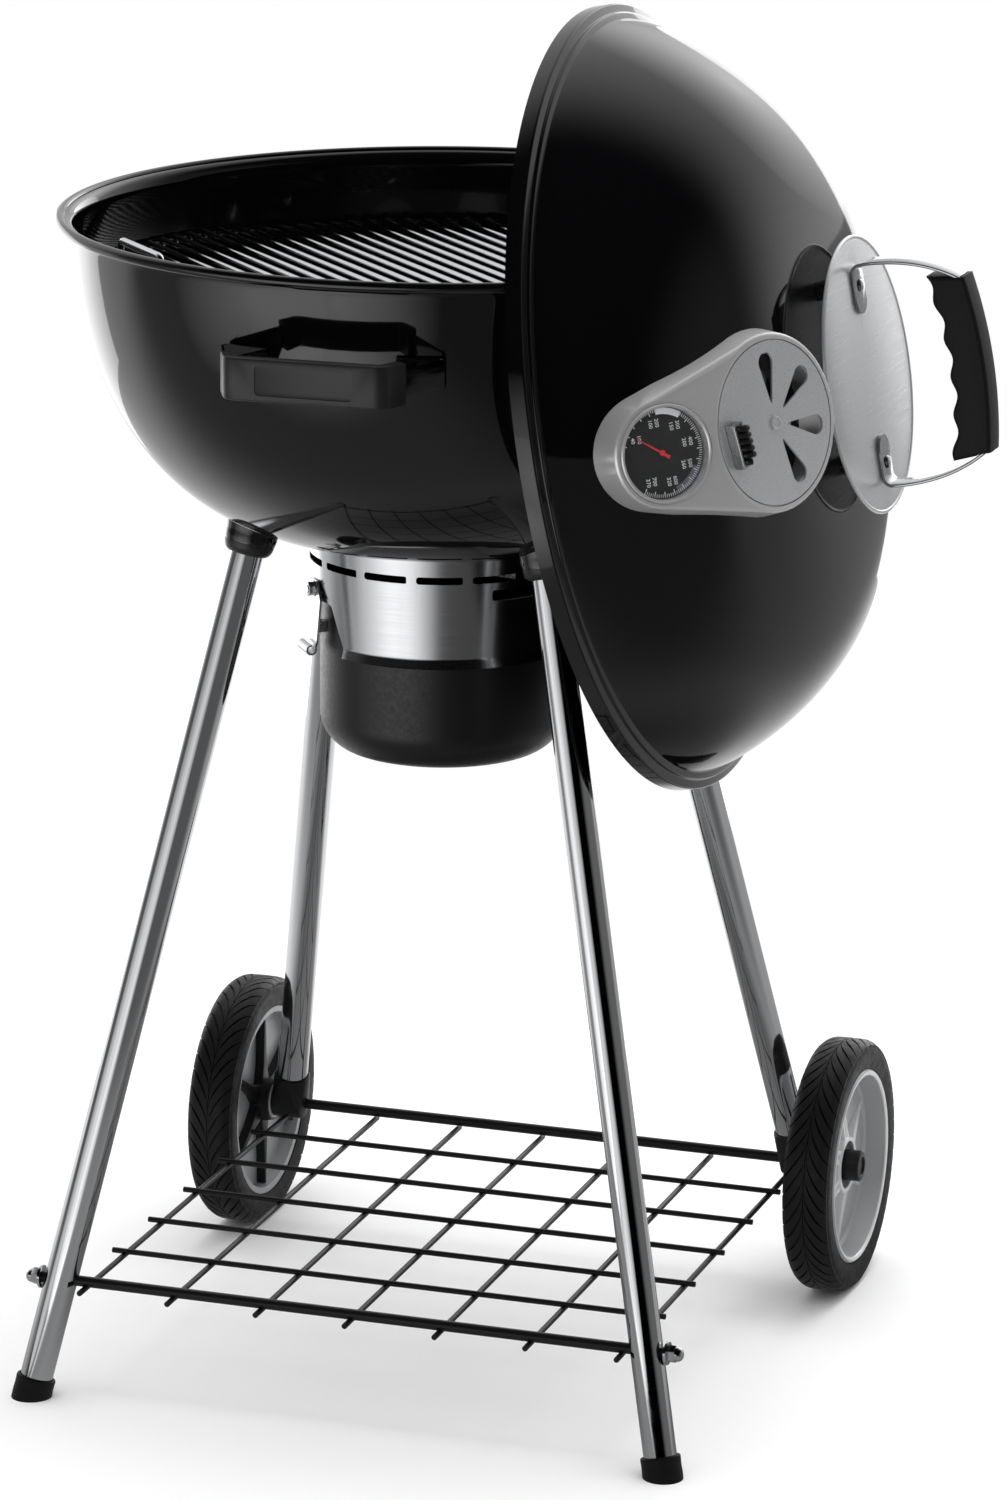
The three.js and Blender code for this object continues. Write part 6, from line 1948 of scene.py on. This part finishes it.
    def build(self) -> None:
        """Builds the housing and all it carries, and the lid's shell with its holes."""
        hung = self.lid.hung
        tools = [self.on(self.vent, self.slots(-60, 2)),
                 self.on(self.gauge, disc(self.stem_hole, -60, 0, sides=24))]
        self.piece("shell_lid", hung(self.lid.shell(tools)), ENAMEL, Body.LID, ("lid",), crease=50)
        self.piece("casting_vent", hung(self.housing()), CAST_ALUMINIUM, Body.LID, ("vent_housing",), crease=24)
        self.piece("disc_vent", hung(self.on(self.vent, self.vent_disc())), BRUSHED_SHEET, Body.VENT, ("vent_disc",),
                   bevel=0.3)
        tab, coil = self.tab().turned(self.tab_turn), self.coil().turned(self.tab_turn)
        self.piece("tab_vent", hung(self.on(self.vent, tab)), TUMBLED_STEEL, Body.VENT, ("vent_tab",), bevel=0.25)
        self.piece("coil_vent", hung(self.on(self.vent, coil)), POWDER_COAT, Body.VENT)
        self.piece("case_gauge", hung(self.on(self.gauge, self.case())), CAST_ALUMINIUM, Body.LID,
                   ("thermometer_case",))
        dial = disc(self.dial_radius, -7.7, -6.7, 0.1, 96)
        self.piece("dial_gauge", hung(self.on(self.gauge, dial)), DIAL_INK, Body.LID, ("thermometer_dial",))
        white, blue = self.ticks()
        self.piece("dial_marks", hung(self.on(self.gauge, white + self.numbers())), DIAL_WHITE, Body.LID)
        self.piece("dial_zone", hung(self.on(self.gauge, blue)), DIAL_BLUE, Body.LID)
        self.piece("needle_gauge", hung(self.on(self.gauge, self.needle())), NEEDLE_PAINT, Body.NEEDLE,
                   ("thermometer_needle",))
        dome = [(0, -4.0), (self.dial_radius, -4.0), (self.dial_radius, -2.9),
                *curve([(30.6, -2.4), (20, -1.6), (0, -1.4)], 12)]
        self.piece("lens_gauge", hung(self.on(self.gauge, revolve(dome, 96))), LENS_GLASS, Body.LID,
                   ("thermometer_lens",))


@dataclass
class LidHandle(SubAssembly):
    """The steel heat shield, the strap riveted on it and the rubber grip."""

    lid: Lid
    shield_radius: float = 99.0
    shield_top: float = 166.0
    shield_sheet: float = 1.4
    rivet_at: float = 63.5
    rivet_hole: float = 2.8
    strap_width: float = 24.0
    strap_thick: float = 2.4
    half: float = 79.5
    foot: float = 36.0
    reach: float = 80.0
    top_half: float = 61.0
    grip_half: float = 64.0
    grip_width: float = 27.0
    grip_depth: float = 27.0
    grooves: int = 5

    def shield(self) -> Solid:
        """The round shield with its hemmed edge.

        Returns:
            The shield.
        """
        low, top, rim = self.shield_top - self.shield_sheet, self.shield_top, self.shield_radius - 1.7
        hem = arc(rim, top - 1.2, 1.6, -150, 150, 14)
        profile = [(0, low), (rim - 3, low), *hem, (rim - 3, top), (0, top)]
        hole = disc(self.rivet_hole, low - 5, top + 5, sides=24)
        holes = [hole.moved(Matrix.Translation((s * self.rivet_at, 0, 0))) for s in (-1, 1)]
        return carve(revolve(profile, 160), holes)

    def line(self) -> Line:
        """Middle line of the strap, sideways and above the rim plane.

        Returns:
            Its points.
        """
        base = self.shield_top + GAP + self.strap_thick / 2
        top, bend = self.shield_top + self.reach, 3 * self.strap_thick
        arm = curve([(self.half, base + bend), (self.half + 1, (base + top) / 2 + 10), (self.top_half, top)], 18)
        side = [(self.half - self.foot, base), *arc(self.half - bend, base + bend, bend, -90, -20, 8), *arm[1:]]
        crown = rounded([side[-2], side[-1], (0, top + self.strap_thick)], 6)[1:]
        half = side[:-1] + crown
        return half + [(-x, y) for x, y in half[:-1]][::-1]

    def stand(self, shape: Solid) -> Solid:
        """Stands a flat piece, drawn sideways by height, upright across the lid."""
        return shape.moved(UPRIGHT)

    def strap(self) -> Solid:
        """The strap with its round feet.

        Returns:
            The strap.
        """
        half, edge = self.strap_width / 2, self.half - self.foot
        body = self.stand(strip(self.line(), self.strap_thick, half, 0.7))
        corner = plate([[(edge - 2, -half - 1), (edge + half, -half - 1), *arc(edge + half, 0, half, -90, -270, 16),
                         (edge + half, half + 1), (edge - 2, half + 1)]], self.shield_top - 1, self.shield_top + 4, 0.0)
        hole = disc(self.rivet_hole, self.shield_top - 2, self.shield_top + 6, sides=24)
        hole = hole.moved(Matrix.Translation((self.rivet_at, 0, 0)))
        return carve(body, [part.turned(turn) for part in (corner, hole) for turn in (0, 180)])

    def grip(self) -> Solid:
        """The rubber grip: flat outside, waved for the fingers inside.

        Returns:
            The grip.
        """
        top = self.shield_top + self.reach + 3 + self.strap_thick
        inner, half = top - self.grip_depth - 3, self.grip_half
        back = curve([(half - 1, top - 3), (0, top + 8.5), (-half + 1, top - 3)], 16)
        fingers = []
        for i in range(self.grooves * 12 + 1):
            x = -half - 2 + (2 * half + 4) * i / (self.grooves * 12)
            bow = 8 * (1 - (x / half) ** 2)
            fingers.append((x, inner + bow + 1.8 * math.sin(2 * math.pi * self.grooves * i / (self.grooves * 12))))
        body = self.stand(plate([back + fingers], -self.grip_width / 2, self.grip_width / 2, 3.0, 3))
        channel = self.stand(strip(self.line(), self.strap_thick + 0.6, self.strap_width / 2 + GAP, 0.3))
        return carve(body, [channel])

    def rivet(self, side: int) -> Solid:
        """A shouldered rivet: its shoulder holds the shield off the dome, its head holds the strap.

        Args:
            side: -1 for the upper foot, 1 for the lower.

        Returns:
            The rivet.
        """
        seat = self.lid.height_at(self.rivet_at + 7) + 0.9
        back, head = self.shield_top - self.shield_sheet - GAP, self.shield_top + 2 * GAP + self.strap_thick
        profile = [(0, seat), *rounded([(7, seat), (7, back)], 0.5), (2.3, back), (2.3, head), (4.6, head),
                   *curve([(4.6, head + 0.5), (4.2, head + 2.1), (0, head + 2.2)], 8)]
        return revolve(profile, 40).moved(Matrix.Translation((side * self.rivet_at, 0, 0)))

    def build(self) -> None:
        """Builds shield, strap, grip and rivets."""
        hung = self.lid.hung
        self.piece("shield_lid", hung(self.shield()), BRUSHED_SHEET, Body.LID, ("heat_shield",))
        self.piece("strap_lid", hung(self.strap()), POLISHED_STEEL, Body.LID, ("lid_handle_strap",))
        self.piece("grip_lid", hung(self.grip()), RUBBER, Body.LID, ("lid_handle_grip",), crease=45)
        for name, side in (("top", -1), ("bottom", 1)):
            self.piece(f"rivet_{name}", hung(self.rivet(side)), TUMBLED_STEEL, Body.LID, (f"lid_rivet_{name}",))


# ---------- studio ----------


@dataclass
class Studio:
    """Floor, light and camera."""

    camera_at: tuple[float, float, float] = (1608.0, -4510.4, 1720.5)  # in the bowl's frame
    right: tuple[float, float, float] = (0.95657, 0.29120, 0.01325)
    up: tuple[float, float, float] = (-0.08945, 0.23958, 0.96675)
    ahead: tuple[float, float, float] = (-0.27834, 0.92595, -0.25522)
    aside: tuple[float, float] = (-0.03981, 0.000856)
    lens: float = 162.6
    floor_radius: float = 30000.0
    # The world's patches of light: middle, angles at which each stops being full and has gone, and strength.
    # The fill lights matt surfaces: an even dome, brighter overhead.
    fill: tuple = (((0, 0, 1), 0, 180, 0.6), ((0.1, 0.1, 1), 0, 75, 0.9))
    # The mirror is what polished ones reflect: a pale room behind that falls away to a dark one in front.
    mirror: tuple = (((-0.28, 0.93, 0.12), 40, 84, 0.8), ((0.94, 0.1, -0.05), 12, 52, 0.15),
                     ((-0.9, 0.1, 0.1), 5, 50, 0.12))

    def camera(self) -> None:
        """Places the camera."""
        data = bpy.data.cameras.new("camera")
        data.lens, data.sensor_width, data.sensor_fit, data.clip_end = self.lens, 36, "AUTO", 100
        made = add_object("camera", data)
        look = (Vector(self.ahead) + Vector(self.right) * self.aside[0] + Vector(self.up) * self.aside[1]).normalized()
        right = look.cross(Vector(self.up)).normalized()
        over = right.cross(look)
        turn = Matrix((right, over, -look)).transposed().to_4x4()
        made.matrix_world = Matrix.Translation(Vector(self.camera_at) * MM + AXIS) @ turn
        bpy.context.scene.camera = made

    def lobe(self, tree: bpy.types.NodeTree, way: bpy.types.NodeSocket, axis: tuple, inner: float, outer: float,
             strength: float) -> bpy.types.NodeSocket:
        """A soft patch of light in the world.

        Args:
            tree: the world's tree.
            way: the direction that is looked up.
            axis: the patch's middle.
            inner: angle in degrees up to which it is full.
            outer: angle at which it has gone.
            strength: how bright it is.

        Returns:
            The patch's light in that direction.
        """
        facing = add_node(tree, "ShaderNodeVectorMath", {"operation": "DOT_PRODUCT"},
                          {0: way, 1: Vector(axis).normalized()})
        edge, full = math.cos(math.radians(outer)), math.cos(math.radians(inner))
        return soft_step(tree, facing.outputs["Value"], edge, full, 0.0, strength)

    def world(self) -> None:
        """White to the camera; a soft dome for matt surfaces, and a room darker in front for polished ones."""
        made = bpy.data.worlds.new("studio")
        made.use_nodes = True
        bpy.context.scene.world = made
        tree = made.node_tree
        way = add_node(tree, "ShaderNodeTexCoord").outputs["Generated"]
        path = add_node(tree, "ShaderNodeLightPath").outputs

        def mix(factor: bpy.types.NodeSocket, low: object, high: object) -> bpy.types.NodeSocket:
            """One of two values, by a factor of 0 or 1."""
            return add_node(tree, "ShaderNodeMix", None, {"Factor": factor, "A": low, "B": high}).outputs[0]

        def total(*parts: bpy.types.NodeSocket) -> bpy.types.NodeSocket:
            """Adds values up.

            Args:
                parts: the values.

            Returns:
                Their sum.
            """
            whole = parts[0]
            for part in parts[1:]:
                whole = calculate(tree, "ADD", whole, part)
            return whole

        spread = total(*(self.lobe(tree, way, *values) for values in self.fill))
        mirror = total(*(self.lobe(tree, way, *values) for values in self.mirror))
        seen = mix(path["Is Camera Ray"], mix(path["Is Glossy Ray"], spread, mirror), 1.0)
        back = tree.nodes["Background"]
        back.inputs["Color"].default_value = (1, 1, 1, 1)
        tree.links.new(seen, back.inputs["Strength"])

    def floor(self) -> None:
        """A pale floor that keeps the grill's shadow near it and is plain white further out.

        Polished surfaces see a painted reflection on it instead, at white or below: painted shade under the grill, in
        front and to the right, and a painted pool of light further out in front to the left.
        """
        mesh = disc(self.floor_radius, -2, 0, sides=64).mesh("floor", MM, AXIS)
        made = add_object("floor", mesh)
        finish = bpy.data.materials.new("white_paper")
        finish.use_nodes = True
        tree = finish.node_tree
        shader = tree.nodes["Principled BSDF"]
        shader.inputs["Base Color"].default_value = srgb("#F4F4F4")
        shader.inputs["Roughness"].default_value = 0.9
        shader.inputs["Specular IOR Level"].default_value = 0.0
        place = add_node(tree, "ShaderNodeTexCoord").outputs["Object"]
        flat = add_node(tree, "ShaderNodeVectorMath", {"operation": "MULTIPLY_ADD"},
                        {0: place, 1: (0.8, 1.0, 0), 2: (0, -0.15, 0)})
        away = add_node(tree, "ShaderNodeVectorMath", {"operation": "LENGTH"}, {0: flat.outputs[0]}).outputs["Value"]
        path = add_node(tree, "ShaderNodeLightPath").outputs
        seen = calculate(tree, "MULTIPLY", soft_step(tree, away, 0.5, 1.3), path["Is Camera Ray"])
        front = add_node(tree, "ShaderNodeSeparateXYZ", inputs={0: place})
        # What polished surfaces see: a painted reflection, lighter behind, with painted shade near the grill and to the
        # right.
        behind = soft_step(tree, front.outputs["Y"], -0.5, 0.5, 0.28, 0.95)
        near = soft_step(tree, away, 0.2, 0.55, 0.25, 1.0)
        right = soft_step(tree, front.outputs["X"], 0.0, 0.8, 1.0, 0.4)
        # A painted pool of light on the floor, seen only in reflections, out in front to the left.
        off = add_node(tree, "ShaderNodeVectorMath", {"operation": "DISTANCE"}, {0: place, 1: (-0.55, -1.5, 0)})
        painted_light_pool = soft_step(tree, off.outputs["Value"], 0.1, 0.85, 0.7, 0.0)
        lit = calculate(tree, "MULTIPLY_ADD", behind, calculate(tree, "MULTIPLY", near, right), painted_light_pool)
        glow = add_node(tree, "ShaderNodeEmission", inputs={"Color": (1, 1, 1, 1), "Strength": 1.0})
        mirrored = add_node(tree, "ShaderNodeEmission", inputs={"Color": (1, 1, 1, 1), "Strength": lit})
        white = add_node(tree, "ShaderNodeMixShader", inputs={0: seen, 1: shader.outputs[0], 2: glow.outputs[0]})
        glossy = add_node(tree, "ShaderNodeMixShader",
                          inputs={0: path["Is Glossy Ray"], 1: white.outputs[0], 2: mirrored.outputs[0]})
        tree.links.new(glossy.outputs[0], tree.nodes["Material Output"].inputs["Surface"])
        mesh.materials.append(finish)

    def lamp(self, name: str, around: float, away: float, height: float, size: tuple[float, float], spread: float,
             level: float, aim: float, glossy: bool = True) -> None:
        """A soft box with a grid, so that it fades towards its edges.

        Args:
            name: what it is called.
            around: where it stands round the grill, in degrees from +X.
            away: how far from the bowl's axis.
            height: height of its middle.
            size: its width and height.
            spread: the grid's full angle in degrees.
            level: how bright it looks from straight in front.
            aim: height on the bowl's axis that it points at.
            glossy: whether polished surfaces show it.
        """
        data = bpy.data.lights.new(name, "AREA")
        data.shape, data.size, data.size_y, data.spread = "ELLIPSE", size[0] * MM, size[1] * MM, math.radians(spread)
        half = math.radians(spread) / 2
        grid = (math.tan(half) - half) / math.tan(half) if spread < 180 else 1.0
        data.energy = level * math.pi * math.pi / 4 * data.size * data.size_y * grid
        made = add_object(name, data)
        turn = math.radians(around)
        place = Vector((away * math.cos(turn), away * math.sin(turn), height)) * MM + AXIS
        look = Vector((0, 0, aim)) * MM + AXIS - place
        made.matrix_world = Matrix.Translation(place) @ look.to_track_quat("-Z", "Y").to_matrix().to_4x4()
        made.visible_camera, made.visible_glossy = False, glossy

    def lamps(self) -> None:
        """A box overhead for the shadows, two low ones at the front left, and three behind for the edges."""
        self.lamp("overhead", around=45, away=400, height=3200, size=(2400, 2400), spread=170, level=3.7, aim=400,
                  glossy=False)
        self.lamp("key", around=-103, away=1150, height=560, size=(1500, 1100), spread=62, level=1.6, aim=830)
        self.lamp("key_left", around=-133, away=1150, height=560, size=(1300, 1100), spread=56, level=1.4, aim=830)
        self.lamp("edge_left", around=143, away=2000, height=450, size=(1300, 1600), spread=76, level=1.9, aim=800)
        self.lamp("edge_right", around=88, away=2200, height=700, size=(1100, 1800), spread=64, level=2.6, aim=800)
        self.lamp("edge_top", around=84, away=2000, height=1700, size=(2200, 2200), spread=46, level=1.7, aim=950)

    def build(self) -> None:
        """Builds the studio."""
        bpy.context.scene.view_settings.view_transform = "Standard"
        self.camera()
        self.world()
        self.lamps()
        self.floor()


def main() -> None:
    """Builds the grill and the studio."""
    logging.basicConfig(level=logging.INFO, format="%(name)s %(message)s")
    studio = Studio()
    studio.build()
    bowl = Bowl()
    lid = Lid(bowl)
    groups: list[SubAssembly] = [bowl, BowlHandle(bowl), Grates(), Stand(bowl), Wheel(Side.LEFT), Wheel(Side.RIGHT),
                                 AshCatcher(bowl), lid, VentHousing(lid), LidHandle(lid)]
    for group in groups:
        LOG.info("building %s", type(group).__name__)
        group.build()


if __name__ == "__main__":
    main()
